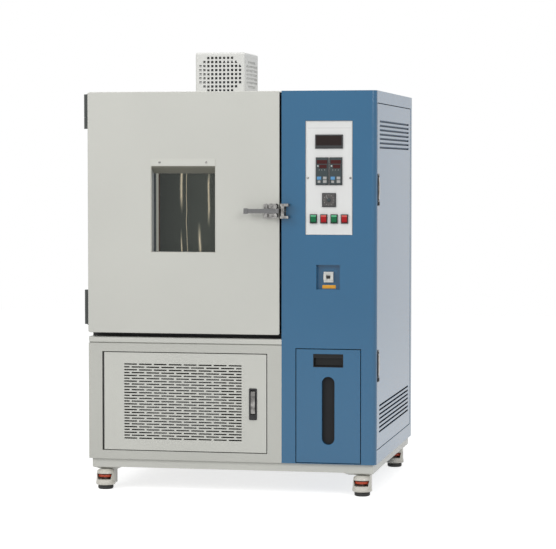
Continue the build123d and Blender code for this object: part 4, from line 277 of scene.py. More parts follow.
# Cabinet shell. Folded steel sheets make the machine room and the outside of the insulated chamber
# above it. They carry the same cream enamel as the base, and the front frame, the sill and the vent
# door are parts of the same set of panels.
dress(cream, "cabinet_casing")
VENT_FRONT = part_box("vent_door")[0][1]


def painted_slot_shade(finish, coat):
    """Painted shade: the walls of the punched slots and the back of the vent door are painted near black.
    """
    x, y, z = finish.axes()
    return finish.blend(finish.step(y, VENT_FRONT + 0.0007, 0.0003), coat, (0.10, 0.10, 0.095))


# The vent door's slot walls and back carry painted shade.
vent_cream = sprayed("vent_door_enamel", CREAM, CREAM_SHADE, over=painted_slot_shade)
dress(vent_cream, "vent_door")
# The lower front frame has a darker copy of the cream enamel: painted shade.
shaded_frame_cream = sprayed("lower_frame_painted_shade", (0.480, 0.482, 0.444), (0.450, 0.452, 0.416))
dress(shaded_frame_cream, "lower_front_frame")
# The motor cover has a lighter copy of the cream enamel: a painted sheen.
lit_cover_cream = sprayed("cover_painted_sheen", (0.66, 0.66, 0.635), (0.62, 0.62, 0.60))
dress(lit_cover_cream, "motor_cover")


# Chamber. A welded stainless box hangs in rigid foam behind a black plastic frame that keeps the
# cold from the outer sheets. Brushed stainless is drawn along one axis, so its scratches are long
# along the sheet and short across it.
def brushed(name, colour, along, roughness=0.3, relief=0.00002):
    """Brushed metal: streaks that are long along one axis vary the colour, gloss and relief."""
    finish = Finish(name, {"Metallic": 1.0, "IOR": 2.5})
    stretch = [60.0, 60.0, 60.0]
    stretch["xyz".index(along)] = 1.2
    streak = finish.noise(12.0, 4.0, stretch)
    cloud = finish.noise(3.0, 3.0)
    dull = tuple(0.86 * value for value in colour)
    finish.feed("Base Color", finish.blend((streak * 0.6 + cloud * 0.4).clamped(), dull, colour))
    finish.feed("Roughness", (streak - 0.5) * 0.25 + (cloud - 0.5) * 0.1 + roughness)
    finish.bump(streak, relief)
    return finish


stainless = brushed("brushed_stainless", (0.60, 0.60, 0.585), "z", 0.28)
foam = moulded("rigid_foam", (0.70, 0.60, 0.36), (0.62, 0.52, 0.30), 0.9, 300.0, 0.0006)
black_strip = moulded("black_breaker_strip", (0.012, 0.012, 0.013), (0.008, 0.008, 0.009), 0.5)
dress(stainless, "chamber_liner", "air_baffle", "shelf", "fan_wheel", "door_liner")
dress(foam, "chamber_foam", "door_foam")
dress(black_strip, "breaker_strip")

COIL_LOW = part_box("air_coils")[0][2]
COIL_HEIGHT = 0.178
FIN_PITCH = 0.003
FIN_TURN = 2.0 * math.pi / FIN_PITCH
coil_metal = Finish("coil_fins_and_heater", {"Metallic": 1.0})
x, y, z = coil_metal.axes()
heater_part = coil_metal.step(z, COIL_LOW + COIL_HEIGHT, 0.002)
frost = coil_metal.noise(90.0, 4.0)
# The gaps between the fins are painted dark: painted shade between the fins.
shaded_fin_gap = ((x * FIN_TURN).sine() * 2.0).clamped() * (1.0 - heater_part)
gap_shade_or_frost = (frost * 0.3 + shaded_fin_gap * 0.9).clamped()
fin = coil_metal.blend(gap_shade_or_frost, (0.72, 0.73, 0.74), (0.10, 0.10, 0.11))
coil_metal.feed("Base Color", coil_metal.blend(heater_part, fin, (0.33, 0.27, 0.22)))
coil_metal.feed("Roughness", frost * 0.25 + 0.28)
coil_metal.bump(shaded_fin_gap, 0.0006)
dress(coil_metal, "air_coils")


# Chamber door. A folded cream tray is filled with foam and closed by a stainless pan, with a grey
# rubber seal round the pan. The window is a heated triple pane with a metal-coated inner face, which
# makes it dark and a little green. The folds of the liner are painted onto it as warm upright streaks of
# painted reflection.
DOOR_LOW, DOOR_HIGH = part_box("door_shell")
SKIN_EDGE = 0.0025


def painted_edge_shade(finish, coat):
    """Painted shade: the latch side and the underside of the tray are painted near black behind the front
    skin, for the shade in the joints beside and under the door."""
    x, y, z = finish.axes()
    latch_side = finish.step(x, DOOR_HIGH[0] - 0.0005)
    underside = 1.0 - finish.step(z, DOOR_LOW[2] + 0.0005)
    behind = finish.step(y, DOOR_LOW[1] + SKIN_EDGE)
    return finish.blend((latch_side + underside).clamped() * behind, coat, (0.012, 0.012, 0.011))


door_cream = sprayed("cream_door_enamel", CREAM, CREAM_SHADE, over=painted_edge_shade)
dress(door_cream, "door_shell")
seal = moulded("grey_silicone_seal", (0.20, 0.20, 0.195), (0.15, 0.15, 0.147), 0.7, 400.0)
dress(seal, "door_gasket")

WINDOW_LOW, WINDOW_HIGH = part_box("window_glazing")
FRAME_LOW, FRAME_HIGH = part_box("window_frame")
REVEAL_WHITE_DEPTH = 0.012
STRIP_HEIGHT = 0.0255

# The reveal is painted dark deeper than 12 mm in and along its head below the strip: painted shade in the
# recess.
reveal = Finish("window_reveal_enamel", {"IOR": 1.5})
x, y, z = reveal.axes()
deep_in_reveal = reveal.step(y, FRAME_LOW[1] + REVEAL_WHITE_DEPTH)
below_strip = 1.0 - reveal.step(z, FRAME_HIGH[2] - STRIP_HEIGHT - 0.0001)
inside_edges = reveal.between(x, WINDOW_LOW[0] + 0.0002, WINDOW_HIGH[0] - 0.0002)
shaded_head = reveal.step(z, FRAME_HIGH[2] - STRIP_HEIGHT - 0.0265) * below_strip * inside_edges
grain = reveal.noise(240.0, 2.0)
side_with_painted_shade = reveal.blend(deep_in_reveal * below_strip, CREAM, (0.36, 0.37, 0.36))
reveal.feed("Base Color", reveal.blend(shaded_head, side_with_painted_shade, (0.185, 0.182, 0.150)))
reveal.feed("Roughness", (grain - 0.5) * 0.1 + 0.36)
reveal.bump(reveal.noise(420.0, 2.0), 0.00006)
dress(reveal, "window_frame")

GLASS = {"Transmission Weight": 0.82, "IOR": 1.45, "Specular IOR Level": 0.12}
glass = Finish("coated_window_glass", GLASS)
x, y, z = glass.axes()
smear = glass.noise(9.0, 4.0)
WINDOW_WIDTH = WINDOW_HIGH[0] - WINDOW_LOW[0]
across = (x - WINDOW_LOW[0]) / WINDOW_WIDTH
upward = (z - WINDOW_LOW[2]) / (WINDOW_HIGH[2] - WINDOW_LOW[2])
wander = (glass.noise(5.0, 2.0, (0.3, 0.3, 1.0)) - 0.5) * 0.10
# Each streak of painted reflection has its place and half width across the window, and its ends, as
# shares of the window.
PAINTED_STREAKS = ((0.45, 0.030, 0.45, 1.20), (0.44, 0.016, -0.20, 0.28), (0.53, 0.007, -0.20, 1.20))
PAINTED_STREAKS += ((0.88, 0.024, 0.28, 1.00), (0.73, 0.030, -0.15, 0.36))
# The streaks are painted reflections of the liner's folds.
streak = 0.0
for place, half_width, low, high in PAINTED_STREAKS:
    ridge = (1.0 - ((across + wander - place) / half_width).size()).clamped()
    ends = ((upward - low) * 5.0).clamped() * ((high - upward) * 5.0).clamped()
    streak = ridge * ends + streak
streak = streak.clamped()
# The glass goes from dark at the left to lighter at the right: its own dark green tint with painted light
# of the liner behind it.
tint_and_painted_light = glass.blend((across * 0.8 + smear * 0.2).clamped(), (0.05, 0.066, 0.056), (0.20, 0.23, 0.19))
SPACER_END = 0.093
# The spacer bar at the left edge is painted in bands: two greys of painted reflection, then dark brown.
painted_spacer_reflection = glass.blend(glass.step(across, 0.034, 0.004), (0.13, 0.145, 0.16), (0.29, 0.295, 0.26))
spacer_colour = glass.blend(glass.step(across, 0.075, 0.004), painted_spacer_reflection, (0.050, 0.030, 0.024))
spacer = 1.0 - glass.step(across, SPACER_END, 0.003)
seen = glass.blend(streak, tint_and_painted_light, (0.62, 0.54, 0.40))
glass.feed("Base Color", glass.blend(spacer, seen, spacer_colour))
glass.feed("Metallic", (streak * 0.85 + spacer * 0.9).clamped())
glass.feed("Roughness", smear * 0.05 + 0.01)
dress(glass, "window_glazing")

SCREW_RADIUS = 0.0042
SCREW_HEIGHT = 0.0019


def slotted_screw(name, centre, finish, body, facing="y", radius=SCREW_RADIUS, height=SCREW_HEIGHT):
    """A pan-head screw with a straight slot: a domed disc whose height drops to half inside a band
    across its middle. The dome is one minus the squared share of the radius, to the power 0.35."""
    rings = radius * np.array([0.0, 0.25, 0.5, 0.7, 0.85, 0.95, 1.0, 1.0])
    angle = np.linspace(0.0, 2.0 * math.pi, 48, endpoint=False)
    dome = height * (1.0 - np.clip(rings / radius, 0.0, 0.98) ** 2)[:, None] ** 0.35 * np.ones(48)
    dome[-1] = 0.0
    a = rings[:, None] * np.cos(angle)
    b = rings[:, None] * np.sin(angle)
    in_slot = (np.abs(b * math.cos(0.6) - a * math.sin(0.6)) < 0.13 * radius) & (dome > 0)
    dome = np.where(in_slot, dome * 0.45, dome)
    order = {"y": (a, -dome, b), "x": (dome, a, b)}[facing]
    points = np.stack(order, axis=-1) + np.asarray(centre)
    piece = surface(name, points, finish, closed_v=True, smooth=False)
    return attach(piece, body)


def plated(name, colour, roughness=0.12):
    """Bright plated metal with wiping marks, and dark patches painted into its colour as painted
    reflections of its surroundings.
    """
    finish = Finish(name, {"Metallic": 1.0, "IOR": 2.5})
    smudge_and_painted_reflection = finish.noise(70.0, 3.0)
    dull = tuple(0.35 * value for value in colour)
    # The dull share of the colour is painted reflection: dark patches of the surroundings.
    finish.feed("Base Color", finish.blend(((smudge_and_painted_reflection - 0.35) * 3.0).clamped(), dull, colour))
    finish.feed("Roughness", (smudge_and_painted_reflection - 0.4).clamped() * 0.3 + roughness)
    finish.bump(finish.noise(160.0, 3.0), 0.00002)
    return finish


nickel = plated("nickel_screw", (0.36, 0.355, 0.34), 0.22)
STRIP_MIDDLE = FRAME_HIGH[2] - STRIP_HEIGHT / 2
for side, share in (("left", 0.14), ("right", 0.86)):
    across = FRAME_LOW[0] + share * (FRAME_HIGH[0] - FRAME_LOW[0])
    centre = (across, FRAME_LOW[1], STRIP_MIDDLE)
    slotted_screw(f"strip_screw_{side}", centre, nickel, "door")


# Door hinges. Two cast hinges with a dark grey-green coat hold the door on its left side: each has
# a leaf on the door, a leaf on the body and three knuckles round one pin. The coat is matt and a
# little rough.
hinge_coat = sprayed("dark_hinge_coat", (0.045, 0.052, 0.048), (0.03, 0.036, 0.033), 0.5, 0.00015)
dress(hinge_coat, "hinge_brackets", "hinge_leaves")


# Door latch. A cast and chromium-plated base on the door holds a lever between two ears, and the
# lever's round head seats on the roller of a keeper that is screwed to the tower.
chrome = plated("bright_chromium", (0.50, 0.49, 0.475), 0.16)
lever_chrome = brushed("brushed_chromium_lever", (0.19, 0.19, 0.192), "x", 0.24)
dress(chrome, "latch_base", "latch_keeper")
dress(lever_chrome, "latch_lever")
BASE_LOW, BASE_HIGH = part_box("latch_base")
SCREW_INSET = 0.0065
BASE_PLATE_FRONT = BASE_HIGH[1] - 0.009
EDGE_INSET = SCREW_INSET - 0.003
for level, height in (("top", BASE_HIGH[2] - EDGE_INSET), ("bottom", BASE_LOW[2] + EDGE_INSET)):
    place = (BASE_LOW[0] + SCREW_INSET, BASE_PLATE_FRONT, height)
    slotted_screw(f"latch_screw_{level}", place, nickel, "door", "y", 0.0028, 0.0014)


# Vent door latch and the two latches of the side door. A black moulded cup lies flush in the sheet
# with a chromium-plated blade hung in it and a lock below. Pulling the blade's lower end draws the
# bolt.
black_plastic = moulded("black_moulding", (0.016, 0.016, 0.017), (0.010, 0.010, 0.011), 0.38)
latch_chrome = plated("bright_latch_blade", (0.36, 0.35, 0.335), 0.14)
dress(black_plastic, "vent_latch_cup", "side_latch_cups")
dress(latch_chrome, "vent_latch_blade", "side_latch_blade_upper", "side_latch_blade_lower")


# Machine room. A black hermetic compressor stands behind a finned condenser whose fan draws air
# through the slots of the vent door.
compressor_coat = sprayed("compressor_enamel", (0.016, 0.016, 0.017), (0.010, 0.010, 0.010), 0.3, 0.0001)
dress(compressor_coat, "compressor")
CONDENSER_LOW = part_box("condenser")[0]
PEDESTAL_HEIGHT = 0.032
FIN_PACK_DEPTH = 0.060
fins = Finish("condenser_fins_and_shroud", {"IOR": 1.5})
x, y, z = fins.axes()
above_pedestal = fins.step(z, CONDENSER_LOW[2] + PEDESTAL_HEIGHT)
pack_part = above_pedestal * (1.0 - fins.step(y, CONDENSER_LOW[1] + FIN_PACK_DEPTH))
# The gaps between the condenser fins are painted dark: painted shade between the fins.
shaded_fin_gap = ((x * FIN_TURN).sine() * 2.0).clamped() * pack_part
dust = fins.noise(60.0, 4.0)
gap_shade_or_dust = (shaded_fin_gap * 0.9 + dust * 0.2).clamped()
fin_colour = fins.blend(gap_shade_or_dust, (0.22, 0.225, 0.23), (0.03, 0.03, 0.032))
fins.feed("Base Color", fins.blend(pack_part, (0.055, 0.058, 0.062), fin_colour))
fins.feed("Metallic", pack_part * (1.0 - shaded_fin_gap))
fins.feed("Roughness", dust * 0.2 + 0.32)
fins.bump(shaded_fin_gap, 0.0006)
dress(fins, "condenser")
dress(black_plastic, "condenser_fan")
motor_grey = sprayed("grey_motor_casting", (0.12, 0.13, 0.145), (0.08, 0.088, 0.10), 0.5, 0.0003)
dress(motor_grey, "fan_motor")


# Control tower. One bent sheet makes its front and rounds its right-hand corner, and a door with two
# banks of louvres closes its side. All of it has the same glossy blue enamel, which looks pale where
# it is seen along the surface.
BLUE = (0.013, 0.110, 0.226)
BLUE_SHADE = (0.011, 0.100, 0.210)
blue = sprayed("blue_enamel", BLUE, BLUE_SHADE, 0.20)
blue.shader.inputs["IOR"].default_value = 1.6
dress(blue, "tower_casing", "drawer")
SIDE_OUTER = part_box("side_door")[1][0]
LOUVRE_DEPTH = 0.012


def behind_sheet(finish):
    """1 on the louvre blades and the edges of the slots, behind the outer face of the side door."""
    x, y, z = finish.axes()
    return finish.between(x, SIDE_OUTER - LOUVRE_DEPTH, SIDE_OUTER - 0.0008, 0.0003)


def painted_louvre_shade(finish, coat):
    """Painted shade: the louvre blades and the slot edges are painted slate grey."""
    return finish.blend(behind_sheet(finish), coat, (0.20, 0.25, 0.32))


side_blue = sprayed("blue_enamel_with_louvres", BLUE, BLUE_SHADE, 0.20, over=painted_louvre_shade)
side_blue.shader.inputs["IOR"].default_value = 1.6
side_blue.feed("Roughness", behind_sheet(side_blue) * 0.6 + 0.2)
dress(side_blue, "side_door")


# Control plate and instruments. A white plate in the front of the tower carries a digital meter, two
# temperature controllers and a round-dial timer. Each has a black moulded case with a smoked window.
case_black = moulded("instrument_case", (0.030, 0.033, 0.034), (0.022, 0.024, 0.025), 0.35)
dress(case_black, "panel_instruments")
PLATE_FLANGE = 0.008
PLATE_SINK = 0.004
plate_box = np.array(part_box("control_plate"))
PLATE_LOW = plate_box[0] + (PLATE_FLANGE, PLATE_SINK, PLATE_FLANGE)
PLATE_HIGH = plate_box[1] - (PLATE_FLANGE, 0.0, PLATE_FLANGE)
HEADING_LINE = PLATE_HIGH[2] - 0.0255
SHADOW_LINE = 0.0012


def plate_lines(finish, coat):
    """A thin grey line under the bare heading, and a painted shadow line round the edge of the plate."""
    x, y, z = finish.axes()
    across = finish.between(x, PLATE_LOW[0] + SHADOW_LINE, PLATE_HIGH[0] - SHADOW_LINE)
    upward = finish.between(z, PLATE_LOW[2] + SHADOW_LINE, PLATE_HIGH[2] - SHADOW_LINE)
    # Painted shadow line round the edge of the plate's field.
    with_shadow_line = finish.blend(across * upward, (0.05, 0.055, 0.06), coat)
    line = finish.between(z, HEADING_LINE, HEADING_LINE + 0.0008, 0.0002)
    within = finish.between(x, PLATE_LOW[0] + 0.0065, PLATE_HIGH[0] - 0.0065)
    return finish.blend(line * within * 0.7, with_shadow_line, (0.20, 0.20, 0.20))


white, white_shade = (0.685, 0.690, 0.680), (0.650, 0.655, 0.645)
plate_white = sprayed("white_plate_enamel", white, white_shade, 0.3, 0.00003, plate_lines)
dress(plate_white, "control_plate")
PLATE_MIDDLE = (PLATE_LOW[0] + PLATE_HIGH[0]) / 2
CASE_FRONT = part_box("panel_instruments")[0][1]


def pane(name, x, z, front, thickness, finish, body, radius=0.0012):
    """A flat block with rounded front edges: rings of a rounded rectangle, each further in and further
    forward along a quarter circle, from the back edge to the middle of the face."""
    turn = np.linspace(0.0, math.pi / 2, 5)
    inset = np.concatenate([[0.0], radius * (1.0 - np.cos(turn))])
    depth = np.concatenate([[0.0], thickness - radius + radius * np.sin(turn)])
    corner = np.array([(1, 1), (-1, 1), (-1, -1), (1, -1)])
    arc = np.linspace(0.0, math.pi / 2, 5)
    middle = np.array([(x[0] + x[1]) / 2, (z[0] + z[1]) / 2])
    half = np.array([(x[1] - x[0]) / 2, (z[1] - z[0]) / 2])
    outline = []
    for number in range(4):
        centre = corner[number] * (half - radius)
        angle = arc + number * math.pi / 2
        outline.append(centre + radius * np.stack([np.cos(angle), np.sin(angle)], axis=-1))
    outline = np.concatenate(outline)
    share = 1.0 - inset[:, None, None] / half
    rings = outline[None] * share
    rings = np.concatenate([rings, np.zeros((1, len(outline), 2))])
    depth = np.append(depth, thickness)
    points = np.empty(rings.shape[:2] + (3,))
    points[..., 0] = middle[0] + rings[..., 0]
    points[..., 1] = front + thickness - depth[:, None]
    points[..., 2] = middle[1] + rings[..., 1]
    piece = surface(name, points, finish, closed_v=True, flip=True)
    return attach(piece, body)


smoked = moulded("smoked_display_window", (0.022, 0.012, 0.010), (0.015, 0.009, 0.008), 0.12, 200.0, 0.0)
display_red = moulded("dark_red_display", (0.062, 0.010, 0.010), (0.044, 0.008, 0.008), 0.15, 200.0, 0.0)
face_grey = moulded("controller_face", (0.050, 0.065, 0.068), (0.042, 0.054, 0.057), 0.42)
for filter_glass in (smoked, display_red, face_grey):
    filter_glass.shader.inputs["IOR"].default_value = 1.3
key_blue = moulded("blue_key", (0.10, 0.28, 0.50), (0.08, 0.24, 0.44), 0.4)
key_grey = moulded("grey_key", (0.36, 0.36, 0.35), (0.30, 0.30, 0.29), 0.45)
lamp_clear = moulded("clear_lamp", (0.50, 0.52, 0.50), (0.42, 0.44, 0.42), 0.3)
METER_WIDTH = 0.096
METER_HEIGHT = 0.048
METER_TOP = PLATE_HIGH[2] - 0.0475
CONTROLLER_PITCH = 0.0475
CONTROLLER_TOP = PLATE_HIGH[2] - 0.1255
TIMER_TOP = PLATE_HIGH[2] - 0.2475
BEZEL = 0.0035

meter_low = METER_TOP - METER_HEIGHT
meter_half = METER_WIDTH / 2 - BEZEL
meter_x = (PLATE_MIDDLE - meter_half, PLATE_MIDDLE + meter_half)
meter_z = (meter_low + 0.0105, METER_TOP - BEZEL)
pane("meter_window", meter_x, meter_z, CASE_FRONT - 0.0006, 0.0016, smoked, "cabinet")
band_z = (meter_low + 0.0028, meter_low + 0.0095)
band_front = CASE_FRONT - 0.0006
pane("meter_lower_band", meter_x, band_z, band_front, 0.0016, case_black, "cabinet")

for side, name in ((-0.5, "left"), (0.5, "right")):
    middle = PLATE_MIDDLE + side * CONTROLLER_PITCH
    top = CONTROLLER_TOP

    def part(label, x0, x1, z0, z1, finish, rise=0.0006, thickness=0.0016):
        across = (middle + x0 / 1000, middle + x1 / 1000)
        height = (top - z1 / 1000, top - z0 / 1000)
        piece_name = f"controller_{name}_{label}"
        depth = CASE_FRONT - rise
        return pane(piece_name, across, height, depth, thickness, finish, "cabinet", 0.0005)

    part("face", -19.8, 19.8, 3.0, 92.5, face_grey, 0.0004, 0.0014)
    part("upper_display", -18.2, 18.2, 9.0, 22.0, display_red, 0.0008)
    part("lower_display", -9.5, 16.5, 25.0, 37.5, display_red, 0.0008)
    part("lamp", -17.0, -12.0, 27.0, 32.0, lamp_clear, 0.0010)
    for number, place in enumerate((-10.0, -1.0, 9.0)):
        part(f"dot_{number + 1}", place - 0.8, place + 0.8, 41.5, 44.5, lamp_clear, 0.0010)
    part("key_set", -17.5, -3.0, 66.0, 76.5, key_blue, 0.0014)
    part("key_shift", -15.0, -5.5, 79.5, 87.5, key_grey, 0.0012)
    part("key_up", 3.5, 16.0, 66.0, 75.5, key_grey, 0.0012)
    part("key_down", 3.5, 16.0, 78.0, 87.5, key_grey, 0.0012)

# The timer has a clear cover over a dark dial with a ring of ticks and one pale pointer.
dial = Finish("timer_dial", {"IOR": 1.5})
x, y, z = dial.axes()
DIAL_MIDDLE = (PLATE_MIDDLE, TIMER_TOP - 0.024)
dx = x - DIAL_MIDDLE[0]
dz = z - DIAL_MIDDLE[1]
distance = (dx * dx + dz * dz) ** 0.5
angle = dz.math("ARCTAN2", dz, dx)
tick = ((angle * 12.0).math("COSINE", angle * 12.0) - 0.86).clamped() * 7.0
ring_part = dial.between(distance, 0.0155, 0.0185, 0.0003)
worn = dial.noise(120.0, 3.0)
dial_base = dial.blend(worn, (0.050, 0.046, 0.044), (0.075, 0.070, 0.068))
dial.feed("Base Color", dial.blend((tick * ring_part).clamped(), dial_base, (0.42, 0.42, 0.41)))
dial.feed("Roughness", worn * 0.2 + 0.2)
dial_x = (PLATE_MIDDLE - 0.0205, PLATE_MIDDLE + 0.0205)
dial_z = (TIMER_TOP - 0.0445, TIMER_TOP - 0.0035)
pane("timer_dial", dial_x, dial_z, CASE_FRONT - 0.0004, 0.0014, dial, "cabinet")
knob_profile = [(0.0, 0.0036), (0.0052, 0.0036), (0.0062, 0.0028), (0.0066, 0.0)]
knob_grid = turned(knob_profile, (DIAL_MIDDLE[0], CASE_FRONT - 0.0002, DIAL_MIDDLE[1]), "y")
knob = surface("timer_knob", knob_grid, face_grey, closed_v=True, flip=True)
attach(knob, "cabinet")
pointer_length = np.linspace(0.0, 1.0, 9)
pointer_half = 0.0009 * (1.0 - 0.6 * pointer_length)
lean = math.radians(128.0)
along = np.array([math.cos(lean), math.sin(lean)])
across = np.array([-along[1], along[0]])
spine = DIAL_MIDDLE + pointer_length[:, None] * 0.0165 * along
section = np.array([(-1.0, 0.0), (-0.7, 0.0007), (0.7, 0.0007), (1.0, 0.0)])
pointer_points = np.empty((9, 4, 3))
flat = spine[:, None, :] + section[None, :, :1] * pointer_half[:, None, None] * across
pointer_points[..., 0] = flat[..., 0]
pointer_points[..., 2] = flat[..., 1]
pointer_points[..., 1] = CASE_FRONT - 0.0006 - section[None, :, 1]
pointer = surface("timer_pointer", pointer_points, lamp_clear)
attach(pointer, "cabinet")

THUMB_LEVEL = PLATE_HIGH[2] - 0.196
for side, across in (("left", PLATE_LOW[0] + 0.0084), ("right", PLATE_HIGH[0] - 0.0084)):
    centre = (across, PLATE_LOW[1], THUMB_LEVEL)
    slotted_screw(f"plate_screw_{side}", centre, nickel, "cabinet", "y", 0.0037, 0.003)


# Push buttons. Four square caps, green and red by turns, stand in black bezels. Each cap is a clear
# coloured moulding with a painted highlight along its upper edge and painted shade along its lower edge.
def lens(name, colour, painted_highlight_colour, low, high):
    """A coloured cap: a painted highlight lightens the colour over the upper quarter of the cap, and
    painted shade darkens its lowest part.
    """
    finish = Finish(name, {"IOR": 1.3, "Coat Weight": 0.1, "Coat Roughness": 0.08})
    x, y, z = finish.axes()
    # Painted highlight over the upper part of the cap.
    lit = finish.step(z, low + 0.80 * (high - low), 0.0012)
    # Painted shade over the lowest part of the cap.
    dark = 1.0 - finish.step(z, low + 0.12 * (high - low), 0.0016)
    body = finish.blend(lit * 0.75, colour, painted_highlight_colour)
    shade = tuple(0.25 * value for value in colour)
    finish.feed("Base Color", finish.blend(dark * 0.8, body, shade))
    finish.feed("Roughness", finish.noise(60.0, 2.0) * 0.12 + 0.12)
    return finish


CAP_LOW, CAP_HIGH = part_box("button_cap_1")
green_lens = lens("green_cap", (0.003, 0.125, 0.046), (0.16, 0.55, 0.31), CAP_LOW[2], CAP_HIGH[2])
red_lens = lens("red_cap", (0.34, 0.005, 0.008), (0.68, 0.17, 0.14), CAP_LOW[2], CAP_HIGH[2])
dress(green_lens, "button_cap_1", "button_cap_3")
dress(red_lens, "button_cap_2", "button_cap_4")
dress(black_plastic, "button_bezels")


# Circuit breaker. A pale grey moulded case with a black rocker looks out of the back of a sunk
# pocket, above a plain orange plate that is stuck to the pocket's back.
pale_moulding = moulded("pale_grey_moulding", (0.60, 0.60, 0.57), (0.54, 0.54, 0.51), 0.45)
dress(pale_moulding, "breaker_body")
dress(black_plastic, "breaker_toggle")
orange = sprayed("orange_plate", (0.90, 0.42, 0.030), (0.84, 0.38, 0.025), 0.4, 0.00003)
BREAKER_LOW, BREAKER_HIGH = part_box("breaker_body")
POCKET_HEIGHT = 0.084
POCKET_BACK_FROM_BREAKER = 0.017
tag_middle = (BREAKER_LOW[0] + BREAKER_HIGH[0]) / 2
tag_low = (BREAKER_LOW[2] + BREAKER_HIGH[2]) / 2 - POCKET_HEIGHT / 2 + 0.002
tag_front = BREAKER_LOW[1] + POCKET_BACK_FROM_BREAKER - 0.0008
TAG_WIDTH = 0.047
TAG_HEIGHT = 0.012
tag_x = (tag_middle - TAG_WIDTH / 2, tag_middle + TAG_WIDTH / 2)
tag_z = (tag_low, tag_low + TAG_HEIGHT)
pane("orange_tag", tag_x, tag_z, tag_front, 0.0012, orange, "cabinet", 0.0005)


# Drawer. A thick blue front with a sunk black pull and a smoked level window slides out with a tray
# that carries the water tank.
pull_black = moulded("black_pull", (0.014, 0.014, 0.014), (0.009, 0.009, 0.009), 0.25)
pull_black.shader.inputs["IOR"].default_value = 1.3
dress(pull_black, "drawer_pull")
level = moulded("smoked_level_window", (0.018, 0.018, 0.019), (0.013, 0.013, 0.014), 0.5, 300.0, 0.00001)
level.shader.inputs["IOR"].default_value = 1.25
dress(level, "level_window")
tank = moulded("milky_tank", (0.62, 0.65, 0.67), (0.55, 0.58, 0.60), 0.4)
dress(tank, "water_tank")


# Electrics plate. Zinc-plated steel with relays, a transformer, a contactor and a terminal row, which
# shows when the side door is open.
electrics = Finish("zinc_plate_and_mouldings", {"IOR": 1.5})
x, y, z = electrics.axes()
PLATE_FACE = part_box("electrics_plate")[0][0] + 0.0102
on_plate = 1.0 - electrics.step(x, PLATE_FACE)
spot = electrics.noise(30.0, 4.0)
moulding = electrics.blend(spot, (0.52, 0.50, 0.43), (0.62, 0.60, 0.53))
electrics.feed("Base Color", electrics.blend(on_plate, moulding, (0.62, 0.63, 0.62)))
electrics.feed("Metallic", on_plate * 0.9)
electrics.feed("Roughness", spot * 0.2 + 0.3)
dress(electrics, "electrics_plate")


# Studio. A pale floor, a white surround that the camera and the reflections see, and soft lamps to
# the front left, the front right and above.
def backdrop(tree, output, plain, white):
    """Shows one shader to the camera, to reflections and through glass, and gives light by another."""
    light_path = tree.nodes.new("ShaderNodeLightPath")
    seen = light_path.outputs["Is Camera Ray"]
    for kind in ("Is Glossy Ray", "Is Transmission Ray"):
        either = tree.nodes.new("ShaderNodeMath")
        either.operation = "MAXIMUM"
        tree.links.new(seen, either.inputs[0])
        tree.links.new(light_path.outputs[kind], either.inputs[1])
        seen = either.outputs[0]
    mix = tree.nodes.new("ShaderNodeMixShader")
    tree.links.new(seen, mix.inputs[0])
    tree.links.new(plain.outputs[0], mix.inputs[1])
    tree.links.new(white.outputs[0], mix.inputs[2])
    tree.links.new(mix.outputs[0], output.inputs["Surface"])


def flat_shader(tree, kind, grey, strength=None):
    """A shader of one plain grey."""
    node = tree.nodes.new(kind)
    node.inputs[0].default_value = (grey, grey, grey, 1.0)
    if strength is not None:
        node.inputs["Strength"].default_value = strength
    return node


scene = bpy.context.scene
scene.view_settings.view_transform = "Standard"
world = bpy.data.worlds.new("studio")
scene.world = world
world.use_nodes = True
tree = world.node_tree
tree.nodes.clear()
plain = flat_shader(tree, "ShaderNodeBackground", 1.0, 0.42)
white = flat_shader(tree, "ShaderNodeBackground", 1.0, 1.0)
backdrop(tree, tree.nodes.new("ShaderNodeOutputWorld"), plain, white)

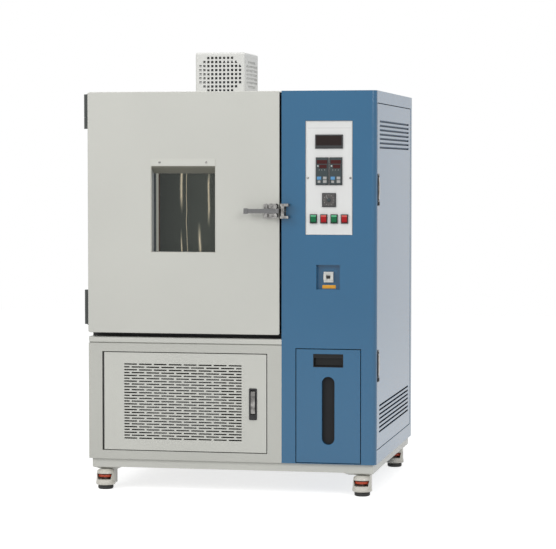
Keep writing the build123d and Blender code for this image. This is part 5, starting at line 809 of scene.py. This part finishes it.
floor_mesh = bpy.data.meshes.new("floor")
FLOOR_HALF = 9.0
floor_corners = [(a * FLOOR_HALF, b * FLOOR_HALF, 0.0) for a, b in ((-1, -1), (1, -1), (1, 1), (-1, 1))]
floor_mesh.from_pydata(floor_corners, [], [(0, 1, 2, 3)])
floor = bpy.data.objects.new("floor", floor_mesh)
scene.collection.objects.link(floor)
floor_paint = bpy.data.materials.new("pale_floor")
floor_paint.use_nodes = True
tree = floor_paint.node_tree
tree.nodes.clear()
plain = flat_shader(tree, "ShaderNodeBsdfDiffuse", 0.80)
glow = flat_shader(tree, "ShaderNodeEmission", 1.0, 0.76)
lit = flat_shader(tree, "ShaderNodeBsdfDiffuse", 0.56)
both = tree.nodes.new("ShaderNodeAddShader")
tree.links.new(glow.outputs[0], both.inputs[0])
tree.links.new(lit.outputs[0], both.inputs[1])
backdrop(tree, tree.nodes.new("ShaderNodeOutputMaterial"), plain, both)
floor_mesh.materials.append(floor_paint)

LAMPS = (
    ("front_left_lamp", (-3.2, -4.6, 3.4), (0.0, 0.0, 0.8), 3.2, 128.0),
    ("front_right_lamp", (3.4, -4.2, 3.0), (0.0, 0.0, 0.7), 2.8, 92.0),
    ("top_lamp", (0.3, -0.6, 4.6), (0.0, 0.0, 0.8), 3.0, 62.0),
)
for name, place, target, size, power in LAMPS:
    lamp = bpy.data.lights.new(name, "AREA")
    lamp.shape = "SQUARE"
    lamp.size = size
    lamp.energy = power
    lamp_object = bpy.data.objects.new(name, lamp)
    scene.collection.objects.link(lamp_object)
    backward = np.asarray(place) - np.asarray(target)
    backward = backward / np.linalg.norm(backward)
    right = np.cross((0.0, 0.0, 1.0), backward)
    right = right / np.linalg.norm(right)
    up = np.cross(backward, right)
    turn = Matrix((tuple(right), tuple(up), tuple(backward))).transposed().to_4x4()
    lamp_object.matrix_world = Matrix.Translation(place) @ turn

# The camera stands a little to the right of the object and looks slightly down on it.
CAMERA_PLACE = (1.6817, -7.9771, 1.1314)
CAMERA_YAW = 0.19627
CAMERA_PITCH = 0.04778
FOCAL_PIXELS = 2238.4
IMAGE_WIDTH = 556
SENSOR_WIDTH = 36.0
camera_data = bpy.data.cameras.new("camera")
camera_data.sensor_fit = "HORIZONTAL"
camera_data.sensor_width = SENSOR_WIDTH
camera_data.lens = FOCAL_PIXELS / IMAGE_WIDTH * SENSOR_WIDTH
camera = bpy.data.objects.new("camera", camera_data)
camera.location = CAMERA_PLACE
camera.rotation_euler = (math.pi / 2 - CAMERA_PITCH, 0.0, CAMERA_YAW)
scene.collection.objects.link(camera)
scene.camera = camera
